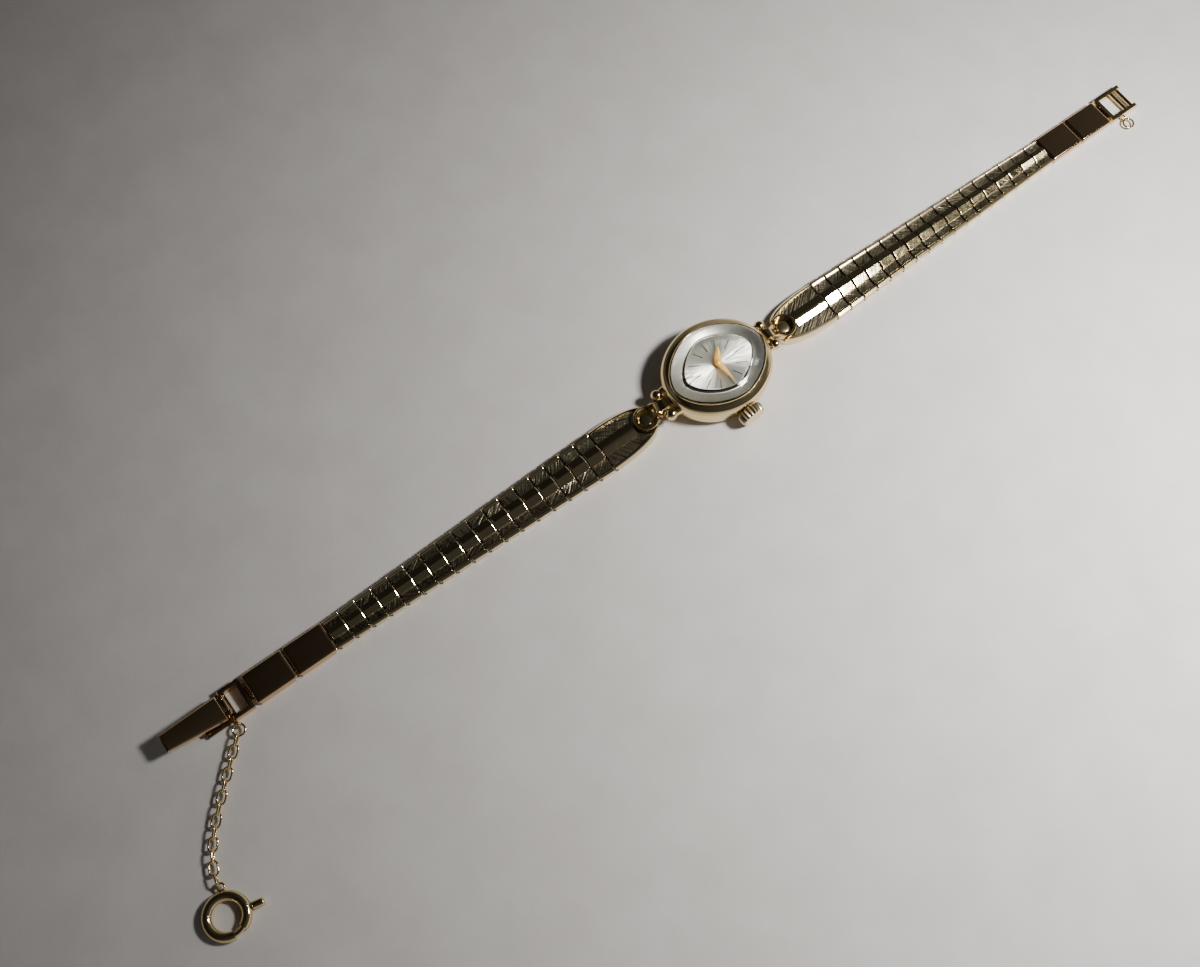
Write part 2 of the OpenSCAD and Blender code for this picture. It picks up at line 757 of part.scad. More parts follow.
// Tapered hand with a wide hub, pointing along +X before it is turned
module hand(l, hub_r, bore_r, width) {
  difference() {
    union() {
      cylinder(r = hub_r, h = hand_t);
      linear_extrude(hand_t) polygon([[0, hub_r * 0.95], [l * 0.45, width], [l, 0.05],
        [l, -0.05], [l * 0.45, -width], [0, -hub_r * 0.95]]);
    }
    disc(bore_r, 1, -0.5);
  }
}

module hour_hand() {
  color("goldenrod") translate([0, 0, hour_z]) rotate([0, 0, 90 - hour_angle])
    hand(hour_hand_l, 0.56, hour_tube_r - seat, 0.42);
}

module minute_hand() {
  color("goldenrod") translate([0, 0, minute_z]) rotate([0, 0, 90 - minute_angle])
    hand(minute_hand_l, 0.46, cannon_r, 0.3);
}

// Winding work

stem_r = 0.26;
stem_tube_r = stem_r + 0.08;
winding_r = 0.82;
winding_x = 4.15;
winding_l = 0.6;
sliding_x = 3.25;
sliding_l = 0.75;
stem_in_x = stem_pocket_x + 0.1;
crown_x = case_half_w + 0.15;

module along_x(x) {
  translate([x, 0, stem_z]) rotate([0, 90, 0]) children();
}

module winding_pinion() {
  color("lightsteelblue") along_x(winding_x) difference() {
    union() {
      gear(14, winding_r * 2 / 16, winding_l * 0.6);
      cylinder(r = winding_r * 0.6, h = winding_l);
    }
    translate([0, 0, -1]) cylinder(r = stem_r + turn, h = 3);
  }
}

module sliding_pinion() {
  color("lightsteelblue") along_x(sliding_x) difference() {
    union() {
      cylinder(r = winding_r * 0.6, h = sliding_l);
      gear(10, 0.1, sliding_l * 0.25);
    }
    translate([0, 0, -1]) cylinder(r = stem_r + turn, h = 3);
    rotate_extrude() translate([winding_r * 0.45, sliding_l * 0.45])
      square([winding_r, sliding_l * 0.2]);
  }
}

module winding_stem() {
  color("silver") along_x(stem_in_x)
    cylinder(r = stem_r, h = crown_x + crown_l * 0.6 - stem_in_x);
}

module crown() {
  groove = 360 / crown_flutes;
  color("gold") along_x(crown_x) difference() {
    intersection() {
      linear_extrude(crown_l) polygon([
        for (i = [0:crown_flutes - 1]) for (k = [-0.4, -0.18, 0.18, 0.4])
          polar(abs(k) < 0.3 ? crown_r : crown_r - 0.14, groove * (i + k))]);
      rotate_extrude($fn = 64) polygon([
        [0, 0], [crown_r - 0.25, 0], [crown_r + 0.02, 0.18], [crown_r + 0.02, crown_l - 0.2],
        [crown_r - 0.28, crown_l], [0, crown_l]]);
    }
    translate([0, 0, -over]) cylinder(r = stem_r, h = crown_l * 0.6 + over);
  }
}

// Connectors

ring_z = 0.95;                                // underside of the connector's ring
ring_h = 1.35;
ring_floor_t = 0.35;                          // floor of the ring, which the post holds down
loop_bore = lug_bar_r + 0.05;
loop_r = loop_bore + ribbon_t;

module connector(side) {
  color("gold") half(side) difference() {
    union() {
      bar_x(loop_r, ribbon_w, lug_y, lug_z);
      translate([0, post_y, ring_z]) cylinder(r = ring_r, h = ring_h);
      hull() {
        translate([-ribbon_w / 2, lug_y + 0.25, lug_z - loop_r + 0.05])
          cube([ribbon_w, loop_r - 0.3, 0.6]);
        translate([-ribbon_w / 2, post_y - ring_r + 0.1, ring_z + ring_h - 0.65])
          cube([ribbon_w, 0.15, 0.6]);
      }
    }
    bar_x(loop_bore, ribbon_w + 1, lug_y, lug_z);
    translate([0, post_y, ring_z + ring_floor_t]) cylinder(r = ring_r - ribbon_t, h = ring_h);
    translate([0, post_y, ring_z - over]) cylinder(r = post_r + 2 * turn, h = ring_h);
  }
}

// Bracelet hinges, at y = 0 and height pin_z, for a link of half width w

tongue_half_w = 0.8;                          // half width of the middle barrel
cheek_w = 0.5;                                // width of each side barrel
hinge_room = barrel_r + 0.06;
shell_z = pin_z + hinge_room;                 // underside of a link's top plate at a hinge

// Room for the hinge under the top plate at a link's far end
module far_room(w) {
  translate([-w - 1, -hinge_room, -1]) cube([2 * w + 2, 2, 1 + shell_z]);
}

// Room for the hinge under the top plate at a link's near end
module near_room(w) {
  translate([-w - 1, hinge_room - 2, -1]) cube([2 * w + 2, 2, 1 + shell_z]);
}

// Middle barrel that the link's far end holds, round the pin
module far_barrel(reach) {
  difference() {
    union() {
      bar_x(barrel_r, 2 * tongue_half_w, 0, pin_z);
      translate([-tongue_half_w, -hinge_room - reach, pin_z - barrel_r])
        cube([2 * tongue_half_w, hinge_room + reach, barrel_r * 2]);
    }
    bar_x(pin_r + turn, 2 * tongue_half_w + 1, 0, pin_z);
    translate([-tongue_half_w - 1, 0, pin_z - barrel_r - 1])
      cube([2 * tongue_half_w + 2, 2, barrel_r + 1 - pin_r]);
  }
}

// Side barrels and pin that the next link's near end holds
module near_barrels(w, reach) {
  x = tongue_half_w + 0.06;
  for (s = [-1, 1]) translate([s * (x + cheek_w / 2), 0, 0]) {
    bar_x(barrel_r, cheek_w, 0, pin_z);
    translate([-cheek_w / 2, 0, pin_z - barrel_r])
      cube([cheek_w, hinge_room + reach, barrel_r * 2]);
  }
  bar_x(pin_r, 2 * (x + bite), 0, pin_z);
}

// Cross-section of a patterned link at y: bevel, panel, ridge, panel, bevel
function band(w, y) = [
  for (p = [[-0.95, 0], [-1, 0.12], [-1, link_t - 0.32], [-0.78, link_t], [-0.34, link_t],
      [0, link_t + ridge_rise(w)], [0.34, link_t], [0.78, link_t], [1, link_t - 0.32],
      [1, 0.12], [0.95, 0]])
    [p[0] * w, y, p[1]]];

// The ridge narrows with the bracelet, and keeps the slope of its flanks
function ridge_rise(w) = ridge_h * w / half_w_head;
function half_w(k) = half_w_head + (half_w_clasp - half_w_head) * k / links_per_half;
function link_y(k) = first_link_y + link_pitch * k;

module link(k) {
  w = half_w(k);
  translate([0, link_y(k), 0]) union() {
    difference() {
      loft([band(w, link_gap / 2), band(half_w(k + 1), link_pitch - link_gap / 2)]);
      near_room(w);
      translate([0, link_pitch, 0]) far_room(w);
    }
    near_barrels(w, bite);
    translate([0, link_pitch, 0]) far_barrel(bite);
  }
}

group_size = 3;

module links(side, group) {
  first = (group - 1) * group_size;
  last = min(first + group_size, links_per_half) - 1;
  color("goldenrod") half(side) for (k = [first:last]) link(k);
}

// End piece: a blunt arch that hugs the connector's ring

tip_reach = 1.45;       // how far the end piece reaches past its post
end_tip_y = post_y - tip_reach;
end_l = first_link_y - end_tip_y;
open_h = 4;             // height of a cut that opens upward
arch_steps = 12;
post_r = 0.6;

function arch_w(t, inset) = (half_w_head - inset) * pow(1 - pow(1 - t, 2.5), 1 / 3.2);

// Outline of the end piece, drawn in by inset, at height z
function arch(inset, z, tip_z) = concat(
  [for (i = [0:arch_steps]) let (t = pow(i / arch_steps, 2))
    [arch_w(t, inset), end_tip_y + inset + (end_l - inset - link_gap / 2) * t,
      z + tip_z * (1 - t)]],
  [for (i = [arch_steps:-1:1]) let (t = pow(i / arch_steps, 2))
    [-arch_w(t, inset), end_tip_y + inset + (end_l - inset - link_gap / 2) * t,
      z + tip_z * (1 - t)]]);

// Ridge along the middle of the end piece, from behind the connector's ring
module end_ridge(y0, y1, rise) {
  w = 0.34 * half_w_head;
  loft([for (e = [[y0, rise * 0.6], [y1, 0]])
    [for (p = [[-w, -0.3], [-w, -0.05], [0, ridge_h], [w, -0.05], [w, -0.3]])
      [p[0], e[0], link_t + e[1] + p[1]]]]);
}

module end_piece(side) {
  rise = end_tip_t - link_t;
  y1 = first_link_y;
  color("goldenrod") half(side) union() {
    difference() {
      loft([arch(0.1, 0, 0), arch(0, 0.12, 0), arch(0, link_t - 0.3, rise),
        arch(0.3, link_t + 0.05, rise)]);
      loft([arch(0.5, link_t - 0.04, rise), arch(0.5, link_t + 1, rise)]);
      translate([0, post_y, ring_z - seat]) cylinder(r = ring_r + 0.22, h = open_h);
      translate([-ribbon_w / 2 - 0.25, end_tip_y - 1, ring_z - seat])
        cube([ribbon_w + 0.5, tip_reach + 1, open_h]);
      translate([0, y1, 0]) far_room(half_w_head);
    }
    end_ridge(post_y + ring_r + 0.4, y1 - link_gap / 2, rise);
    translate([0, post_y, ring_z - seat - bite]) {
      cylinder(r = post_r, h = ring_floor_t + 2 * seat + 2 * bite);
      translate([0, 0, ring_floor_t + 2 * seat + bite])
        cylinder(r1 = post_r + 0.4, r2 = post_r + 0.1, h = 0.35);
    }
    translate([0, y1, 0]) far_barrel(bite);
  }
}

// Plain links

plain_y = link_y(links_per_half);
bevel = 0.35;
end_slope = 0.5;

function plan(w, y0, y1, z) = [[w, y0, z], [w, y1, z], [-w, y1, z], [-w, y0, z]];

module plain_body(w, y0, y1) {
  loft([
    plan(w - 0.08, y0, y1, 0),
    plan(w, y0, y1, 0.1),
    plan(w, y0, y1, link_t - 0.3),
    plan(w - bevel, y0 + end_slope, y1 - end_slope, link_t + 0.05)]);
}

module plain_link(side, i) {
  y0 = plain_y + plain_l * (i - 1);
  w = plain_half_w;
  color("saddlebrown") half(side) translate([0, y0, 0]) union() {
    difference() {
      plain_body(w, link_gap / 2, plain_l - link_gap / 2);
      near_room(w);
      translate([0, plain_l, 0]) far_room(w);
    }
    near_barrels(w, bite);
    translate([0, plain_l, 0]) far_barrel(bite);
  }
}

// Ladder catch

rail_y = plain_y + 2 * plain_l;
rail_half_w = plain_half_w;
rail_t = link_t - 0.1;

// Two side rails that grip the last plain link's barrel, from the pin to y = l
module rails(l) {
  x0 = rail_half_w - rail_w;
  for (s = [-1, 1]) translate([s * (x0 + rail_w / 2), 0, 0]) {
    translate([-rail_w / 2, hinge_room, 0.08]) cube([rail_w, l - hinge_room, rail_t - 0.08]);
    bar_x(rail_t / 2 - 0.04, rail_w, l, (rail_t + 0.08) / 2);
  }
  translate([-rail_half_w, hinge_room - bite, 0.08])
    cube([2 * rail_half_w, 0.6, rail_t - 0.08]);
  near_barrels(rail_half_w, bite);
}

module ladder_catch() {
  inner_rung_y = ladder_l - 1.35;
  outer_rung_y = ladder_l - 0.1;
  color("gold") half(1) translate([0, rail_y, 0]) union() {
    rails(ladder_l);
    bar_x(rung_r, 2 * rail_half_w - rail_w, inner_rung_y, rail_t / 2);
    bar_x(rung_r, 2 * rail_half_w - rail_w, outer_rung_y, rail_t / 2);
    eye(rail_half_w, catch_eye_y);
  }
}

eye_major = 0.45;
catch_eye_y = 2.4;

// Small upright eye soldered to the outside of a rail
module eye(x, y) {
  translate([x + eye_major - bite, y, rail_t / 2]) rotate([90, 0, 0])
    half_ring(eye_major, wire_r, 360);
}

catch_ring_r = 0.95;

module catch_ring() {
  x = rail_half_w + 2 * eye_major - bite + catch_ring_r - 2 * wire_r - turn;
  color("gold") translate([x, rail_y + catch_eye_y, rail_t / 2])
    half_ring(catch_ring_r, wire_r, 360);
}

// Clasp frame and fold-over leaf, drawn for the 12 o'clock side and mirrored

leaf_z = 1.35;                                // height of the leaf's hinge pin
leaf_barrel_r = 0.42;
leaf_pin_y = rail_y + frame_l;
leaf_barrel_half_w = 0.75;
base_l = 3.9;                                 // how far the frame's base runs under the leaf
chain_eye_y = frame_l - 0.1;

module clasp_frame() {
  color("saddlebrown") half(-1) translate([0, rail_y, 0]) union() {
    rails(frame_l - 0.35);
    for (s = [-1, 1]) translate([s * (leaf_barrel_half_w + 0.06 + 0.3), 0, 0]) {
      bar_x(leaf_barrel_r, 0.6, frame_l, leaf_z);
      translate([-0.3, frame_l - leaf_barrel_r, 0.35])
        cube([0.6, 2 * leaf_barrel_r, leaf_z - 0.35]);
    }
    bar_x(0.2, 2 * (leaf_barrel_half_w + 0.1), frame_l, leaf_z);
    translate([-rail_half_w + 0.1, frame_l - 0.6, 0.08])
      cube([2 * rail_half_w - 0.2, base_l + 0.6, 0.4]);
    translate([-rail_half_w + 0.5, frame_l + base_l - 0.1, 0.08])
      cube([2 * rail_half_w - 1, 0.35, 0.62]);
    eye(rail_half_w, chain_eye_y);
  }
}

// The leaf lies along +Y from its pin before it is tilted
module leaf_body() {
  w = leaf_half_w;
  tip = leaf_tip_half_w;
  y0 = leaf_barrel_r + 0.1;
  top = 0.42;
  depth = 0.75;
  difference() {
    loft([
      [[w, y0, -depth], [tip, leaf_l, -depth + 0.25], [-tip, leaf_l, -depth + 0.25],
        [-w, y0, -depth]],
      [[w, y0, top - 0.15], [tip, leaf_l, top - 0.25], [-tip, leaf_l, top - 0.25],
        [-w, y0, top - 0.15]],
      [[w - 0.2, y0 + 0.15, top], [tip - 0.2, leaf_l - 0.3, top - 0.05],
        [-tip + 0.2, leaf_l - 0.3, top - 0.05], [-w + 0.2, y0 + 0.15, top]]]);
    loft([
      [[w - 0.3, y0 - 1, -2], [tip - 0.3, leaf_l - 0.35, -2], [-tip + 0.3, leaf_l - 0.35, -2],
        [-w + 0.3, y0 - 1, -2]],
      [[w - 0.3, y0 - 1, top - 0.35], [tip - 0.3, leaf_l - 0.35, top - 0.4],
        [-tip + 0.3, leaf_l - 0.35, top - 0.4], [-w + 0.3, y0 - 1, top - 0.35]]]);
  }
}

module clasp_leaf() {
  color("saddlebrown") half(-1) translate([0, leaf_pin_y, leaf_z]) rotate([leaf_tilt, 0, 0])
    union() {
      leaf_body();
      difference() {
        union() {
          bar_x(leaf_barrel_r, 2 * leaf_barrel_half_w, 0, 0);
          translate([-leaf_barrel_half_w, 0, 0])
            cube([2 * leaf_barrel_half_w, leaf_barrel_r + 0.3, leaf_barrel_r - 0.05]);
        }
        bar_x(0.2 + turn, 2 * leaf_barrel_half_w + 1, 0, 0);
      }
      bar_x(0.22, 2 * leaf_tip_half_w, leaf_l * 0.55, -0.2);
    }
}

// Safety chain: links turn a quarter from one to the next along a gentle arc

chain_z = chain_link_w / 2;
link_step = chain_link_l - 4 * wire_r - 2 * turn;
chain_start = [rail_half_w + eye_major * 2 - bite, -(rail_y + chain_eye_y)];
chain_links = 13;
heading_start = -46;    // where the chain points as it leaves the clasp, in degrees
jump_r = 0.95;
jump_pos = chain_start + polar(jump_r - 3 * wire_r - turn, heading_start);

function heading(i) = heading_start * (1 - pow(i / chain_links, 4));

// Place of the middle of chain link i, stepping along the arc from the jump ring
function chain_pos(i) = i < 1
  ? jump_pos + polar(jump_r + chain_link_l / 2 - 4 * wire_r - turn, heading(0))
  : chain_pos(i - 1) + polar(link_step / 2, heading(i - 1)) + polar(link_step / 2, heading(i));

// One oval link in the XY plane, along X
module chain_link() {
  r = chain_link_w / 2 - wire_r;
  straight = chain_link_l - chain_link_w;
  for (s = [-1, 1]) {
    translate([s * straight / 2, 0, 0]) rotate([0, 0, -90 * s]) half_ring(r, wire_r);
    translate([-straight / 2, s * r, 0]) rotate([0, 90, 0])
      cylinder(r = wire_r, h = straight, $fn = 24);
  }
}

module chain(first, last) {
  for (i = [first:last])
    translate(concat(chain_pos(i), [chain_z])) rotate([i % 2 == 0 ? 90 : 0, 0, heading(i)])
      chain_link();
}

chain_cut_1 = 4;
chain_cut_2 = 8;

module chain_1() {
  color("gold") union() {
    translate(concat(jump_pos, [chain_z])) half_ring(jump_r - wire_r, wire_r, 360);
    chain(0, chain_cut_1 - 1);
  }
}

module chain_2() {
  color("gold") chain(chain_cut_1, chain_cut_2 - 1);
}

module chain_3() {
  color("gold") chain(chain_cut_2, chain_links - 1);
}

// Spring ring

ring_major = clasp_ring_r - tube_r;
tail_angle = 161;       // where the chain's eye is fixed on the ring
knob_angle = 76;        // where the thumb knob stands at rest
gap_from = -8;          // ends of the gap that the bolt closes
gap_to = 24;
slot_end = knob_angle + bolt_travel + 12;
tail_eye_r = 0.6;
tail_reach = ring_major + tube_r + tail_eye_r - 0.12;

ring_pos = chain_pos(chain_links - 1)
  + polar(chain_link_l / 2 + tail_eye_r - 4 * wire_r - turn, heading(chain_links))
  - polar(tail_reach, tail_angle);

module on_ring() {
  translate(concat(ring_pos, [tube_r])) children();
}

module spring_ring() {
  color("gold") on_ring() union() {
    difference() {
      rotate([0, 0, gap_to]) half_ring(ring_major, tube_r, 360 + gap_from - gap_to);
      rotate([0, 0, gap_to - 1]) half_ring(ring_major, bolt_r + 0.04, slot_end - gap_to + 30);
      rotate([0, 0, gap_from - 10]) half_ring(ring_major, bolt_r + 0.04, 11);
      rotate([0, 0, knob_angle - 7]) rotate_extrude(angle = slot_end - knob_angle + 7)
        translate([ring_major, -0.22]) square([2, 0.44]);
    }
    translate(polar(tail_reach, tail_angle)) half_ring(tail_eye_r - wire_r, wire_r, 360);
  }
}

module spring_ring_trigger() {
  color("goldenrod") on_ring() union() {
    rotate([0, 0, gap_from - 7]) half_ring(ring_major, bolt_r, knob_angle + 7 - gap_from);
    rotate([0, 0, knob_angle]) translate([ring_major, 0, 0]) rotate([0, 90, 0]) {
      cylinder(r = 0.18, h = tube_r + 0.9);
      translate([0, 0, tube_r + 0.85]) cylinder(r1 = 0.26, r2 = 0.42, h = 0.8);
    }
  }
}

case_middle();
case_back();
bezel();
crystal();
dial();
hour_hand();
minute_hand();
cannon_pinion();
hour_wheel();
minute_wheel();
main_plate();
train_bridge();
balance_cock();
pallet_cock();
movement_screws();
mainspring_barrel();
mainspring();
ratchet_wheel();
crown_wheel();
click();
centre_wheel();
third_wheel();
fourth_wheel();
escape_wheel();
pallet_fork();
balance_wheel();
hairspring();
winding_pinion();
sliding_pinion();
winding_stem();
crown();
connector(1);  // connector_12
connector(-1);  // connector_6
end_piece(1);  // end_piece_12
end_piece(-1);  // end_piece_6
links(1, 1);  // links_12_1
links(1, 2);  // links_12_2
links(1, 3);  // links_12_3
links(1, 4);  // links_12_4
links(1, 5);  // links_12_5
links(1, 6);  // links_12_6
links(-1, 1);  // links_6_1
links(-1, 2);  // links_6_2
links(-1, 3);  // links_6_3
links(-1, 4);  // links_6_4
links(-1, 5);  // links_6_5
links(-1, 6);  // links_6_6
plain_link(1, 1);  // plain_link_12_1
plain_link(1, 2);  // plain_link_12_2
plain_link(-1, 1);  // plain_link_6_1
plain_link(-1, 2);  // plain_link_6_2
ladder_catch();
catch_ring();
clasp_frame();
clasp_leaf();
chain_1();
chain_2();
chain_3();
spring_ring();
spring_ring_trigger();
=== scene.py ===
# %% [markdown]
# # A ladies' hand-wound bracelet watch
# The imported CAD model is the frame: it fixes every size and every hinge. This script gives
# it its looks. Each step makes one kind of piece, and the cell before it says what the
# piece is, which ways there are to make it and why this one was picked.
#
# Sizes are written in millimetres, as a watchmaker would, and turned into metres by `MM`.
# The script can't read the CAD source, so the sizes that new pieces need are repeated, each
# where it is first needed, with the name that the source gives it or one close to it.

import json
import math

import bmesh
import bpy
import numpy as np
from mathutils import Matrix


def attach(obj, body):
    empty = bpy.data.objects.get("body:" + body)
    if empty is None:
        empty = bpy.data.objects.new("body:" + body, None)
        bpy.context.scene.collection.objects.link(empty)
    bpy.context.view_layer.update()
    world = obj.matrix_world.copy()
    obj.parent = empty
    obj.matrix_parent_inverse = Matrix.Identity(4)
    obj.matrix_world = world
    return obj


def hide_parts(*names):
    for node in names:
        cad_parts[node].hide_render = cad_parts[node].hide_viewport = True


MM = 0.001
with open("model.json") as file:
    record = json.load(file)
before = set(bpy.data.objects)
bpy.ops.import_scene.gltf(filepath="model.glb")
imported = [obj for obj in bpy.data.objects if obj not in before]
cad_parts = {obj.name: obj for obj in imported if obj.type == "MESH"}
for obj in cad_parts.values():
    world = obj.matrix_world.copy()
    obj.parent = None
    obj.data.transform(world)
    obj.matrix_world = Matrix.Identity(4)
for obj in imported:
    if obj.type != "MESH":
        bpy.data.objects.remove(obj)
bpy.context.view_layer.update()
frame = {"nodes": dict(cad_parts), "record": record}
nodes = frame["nodes"]
rng = np.random.default_rng(11)

# %% [markdown]
# ## Mesh helpers
# Ready-made cylinders and boxes, with modifiers on them, could make many of a watch's
# pieces, but not its ovals and tapers. So all surfaces here are grids of points: rows of
# rings, joined by quads. A ring is closed, and rows can end in a pole, in a flat cap, or join
# up with the first row. The points are made as whole arrays, so no loop walks over vertices.

# %% Closed surfaces
def skin(rings, loop=False, poles=(None, None)):
    """Joins rings of points, given as rows x points x 3, into one closed surface.
    With loop the last row meets the first; a pole is the point that closes an end, and
    without one the end is closed at the middle of its ring."""
    rings = np.asarray(rings, float)
    m, n = rings.shape[:2]
    points = rings.reshape(-1, 3)
    row = np.arange(n)
    quads = []
    for j in range(m if loop else m - 1):
        a, b = j * n, ((j + 1) % m) * n
        quads.append(np.stack([a + row, a + (row + 1) % n, b + (row + 1) % n, b + row], 1))
    faces = np.concatenate(quads).tolist()
    if not loop:
        ends = [rings[0].mean(0) if poles[0] is None else poles[0],
                rings[-1].mean(0) if poles[1] is None else poles[1]]
        points = np.vstack([points, ends])
        low, high = len(points) - 2, len(points) - 1
        last = (m - 1) * n
        faces += np.stack([np.full(n, low), (row + 1) % n, row], 1).tolist()
        faces += np.stack([np.full(n, high), last + row, last + (row + 1) % n], 1).tolist()
    return points, faces


def join(parts):
    """Puts several (points, faces, material index) parts into one list of points and faces."""
    points, faces, index, base = [], [], [], 0
    for p, f, k in parts:
        points.append(p)
        faces += [[base + i for i in face] for face in f]
        index += [k] * len(f) if np.isscalar(k) else list(k)
        base += len(p)
    return np.vstack(points), faces, index


cube = np.array([[[-1, -1, z], [1, -1, z], [1, 1, z], [-1, 1, z]] for z in (-1, 1)])
print("a cube's skin has", len(skin(cube)[0]), "points and", len(skin(cube)[1]), "faces")

# %% Finished pieces
def put(name, data):
    """New object in the scene, at the origin and unturned."""
    thing = bpy.data.objects.new(name, data)
    bpy.context.scene.collection.objects.link(thing)
    return thing


def shell(name, parts, scale):
    """Mesh of the joined parts times `scale`, with every normal turned outward."""
    points, faces, index = join(parts)
    mesh = bpy.data.meshes.new(name)
    mesh.from_pydata((points * scale).tolist(), [], faces)
    mesh.polygons.foreach_set("material_index", np.array(index, np.int32))
    bm = bmesh.new()
    bm.from_mesh(mesh)
    bmesh.ops.recalc_face_normals(bm, faces=bm.faces)
    bm.to_mesh(mesh)
    bm.free()
    return mesh


def make(name, parts, body, materials, stands_for=(), sharp=40):
    """A finished piece from its parts. It is shaded smooth, but edges over `sharp` degrees
    stay crisp."""
    mesh = shell(name, parts, MM)
    mesh.polygons.foreach_set("use_smooth", np.ones(len(mesh.polygons), bool))
    mesh.set_sharp_from_angle(angle=math.radians(sharp))
    for material in materials:
        mesh.materials.append(material)
    piece = put(name, mesh)
    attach(piece, body)
    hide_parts(*stands_for)
    return piece


print("two cubes joined have", len(join([(*skin(cube), 0)] * 2)[0]), "points")

# %% [markdown]
# ## Camera
# The photo was taken from the crown's side, looking steeply down, with the bracelet running
# from the lower left corner to the upper right one. A camera can be moved by hand until it
# looks right, but a long thin thing shows every small error. So the numbers below come from
# fitting the bracelet's link boundaries and the dial's centre to the picture.

# %% Camera
def stand(thing, x, y, z, place):
    """Stands a lamp or camera at `place`, in metres, with its own axes along x, y and z. It
    looks along -z."""
    matrix = np.eye(4)
    matrix[:3] = np.column_stack([x, y, z, place])
    thing.matrix_world = Matrix(matrix)


def place_camera(azimuth, elevation, roll, distance, target, lens):
    """Camera that looks at `target` (mm) from `distance` mm, at those angles in degrees. It
    returns the direction that lies to the right in the picture."""
    a, e, r = (math.radians(v) for v in (azimuth, elevation, roll))
    back = np.array([math.sin(a) * math.cos(e), -math.cos(a) * math.cos(e), math.sin(e)])
    right = np.cross(-back, [0, 0, 1])
    right /= np.linalg.norm(right)
    up = np.cross(right, -back)
    x = right * math.cos(r) + up * math.sin(r)
    y = up * math.cos(r) - right * math.sin(r)
    data = bpy.data.cameras.new("camera")
    data.lens, data.sensor_width = lens, 36
    data.clip_start, data.clip_end = 0.005, 20
    camera = put("camera", data)
    stand(camera, x, y, back, (np.array(target) + back * distance) * MM)
    bpy.context.scene.camera = camera
    return x


VIEW_RIGHT = place_camera(azimuth=49.01, elevation=69.2, roll=4.67, distance=185.1,
                          target=(3.375, -22.784, 0), lens=40.29)
print("camera set, to the right is", np.round(VIEW_RIGHT, 3))

# %% [markdown]
# ## Materials
# Surfaces are made of shader nodes alone. They read object coordinates, so they need no UV
# map and no picture file. Long chains of nodes are hard to follow in code, so each kind of
# node that is used often gets a small function here, and a sum reads like a sum.

# %% Node helpers
def plug(tree, n, **inputs):
    """Links or sets a node's inputs. Each is given by its name, with _ for a space, or by i
    and its number."""
    for key, value in inputs.items():
        numbered = key[0] == "i" and key[1:].isdigit()
        target = n.inputs[int(key[1:]) if numbered else key.replace("_", " ")]
        if isinstance(value, bpy.types.NodeSocket):
            tree.links.new(value, target)
        else:
            target.default_value = value


def node(tree, kind, settings=(), **inputs):
    """A new node, with its settings by name and its inputs as `plug` takes them."""
    n = tree.nodes.new(kind)
    for key, value in dict(settings).items():
        setattr(n, key, value)
    plug(tree, n, **inputs)
    return n


trial = bpy.data.node_groups.new("trial", "ShaderNodeTree")
node(trial, "ShaderNodeMath", {"operation": "ADD"}, i0=1.0, i1=2.0)
print("nodes on trial, after one sum:", len(trial.nodes))

# %% Sums in nodes
def maths(tree, operation, a, b=0.0, c=0.0, clamp=False):
    """One Math node, given its operation and its operands."""
    return node(tree, "ShaderNodeMath", {"operation": operation, "use_clamp": clamp},
                i0=a, i1=b, i2=c).outputs[0]


def plus(tree, a, b):
    """a plus b."""
    return maths(tree, "ADD", a, b)


def minus(tree, a, b):
    """a less b."""
    return maths(tree, "SUBTRACT", a, b)


def times(tree, a, b, clamp=False):
    """a times b, kept between 0 and 1 if clamped."""
    return maths(tree, "MULTIPLY", a, b, clamp=clamp)


def vector_maths(tree, operation, a, b=(0.0, 0.0, 0.0)):
    """One Vector Math node, given its operation and its operands. SCALE takes a number as b."""
    second = {"Scale": b} if operation == "SCALE" else {"i1": b}
    return node(tree, "ShaderNodeVectorMath", {"operation": operation}, i0=a, **second).outputs[0]


times(trial, plus(trial, 1.0, 2.0), 0.5)
print("after one more sum and a product:", len(trial.nodes))
bpy.data.node_groups.remove(trial)

# %% [markdown]
# ### Hairlines and tone
# Worn metal is never one even colour: it has fine scratches, and its tone drifts slowly. A
# scanned picture could give that, but not at every distance. Noise can, and since every metal
# needs both, each is a node group with named sockets. The groups give only masks; the shader
# that uses them stays in each material.

# %% Hairlines and tone
def group(name, inputs, outputs):
    """Empty shader node group. Inputs and outputs map a socket's name to its type, and an
    input may carry a default value."""
    tree = bpy.data.node_groups.new(name, "ShaderNodeTree")
    for label, (kind, default) in inputs.items():
        s = tree.interface.new_socket(label, in_out="INPUT", socket_type="NodeSocket" + kind)
        if default is not None:
            s.default_value = default
    for label, kind in outputs.items():
        tree.interface.new_socket(label, in_out="OUTPUT", socket_type="NodeSocket" + kind)
    return tree, tree.nodes.new("NodeGroupInput").outputs, tree.nodes.new("NodeGroupOutput")


def spun(tree, vector, angle):
    """A vector turned about Z, so that strokes can run at an angle."""
    return node(tree, "ShaderNodeVectorRotate", {"rotation_type": "Z_AXIS"}, Vector=vector,
                Angle=angle).outputs[0]


def noise(tree, vector, scale=1.0, detail=2.0, roughness=0.5, dimensions="3D"):
    """Value of a noise texture."""
    return node(tree, "ShaderNodeTexNoise", {"noise_dimensions": dimensions}, Vector=vector,
                Scale=scale, Detail=detail, Roughness=roughness).outputs["Fac"]


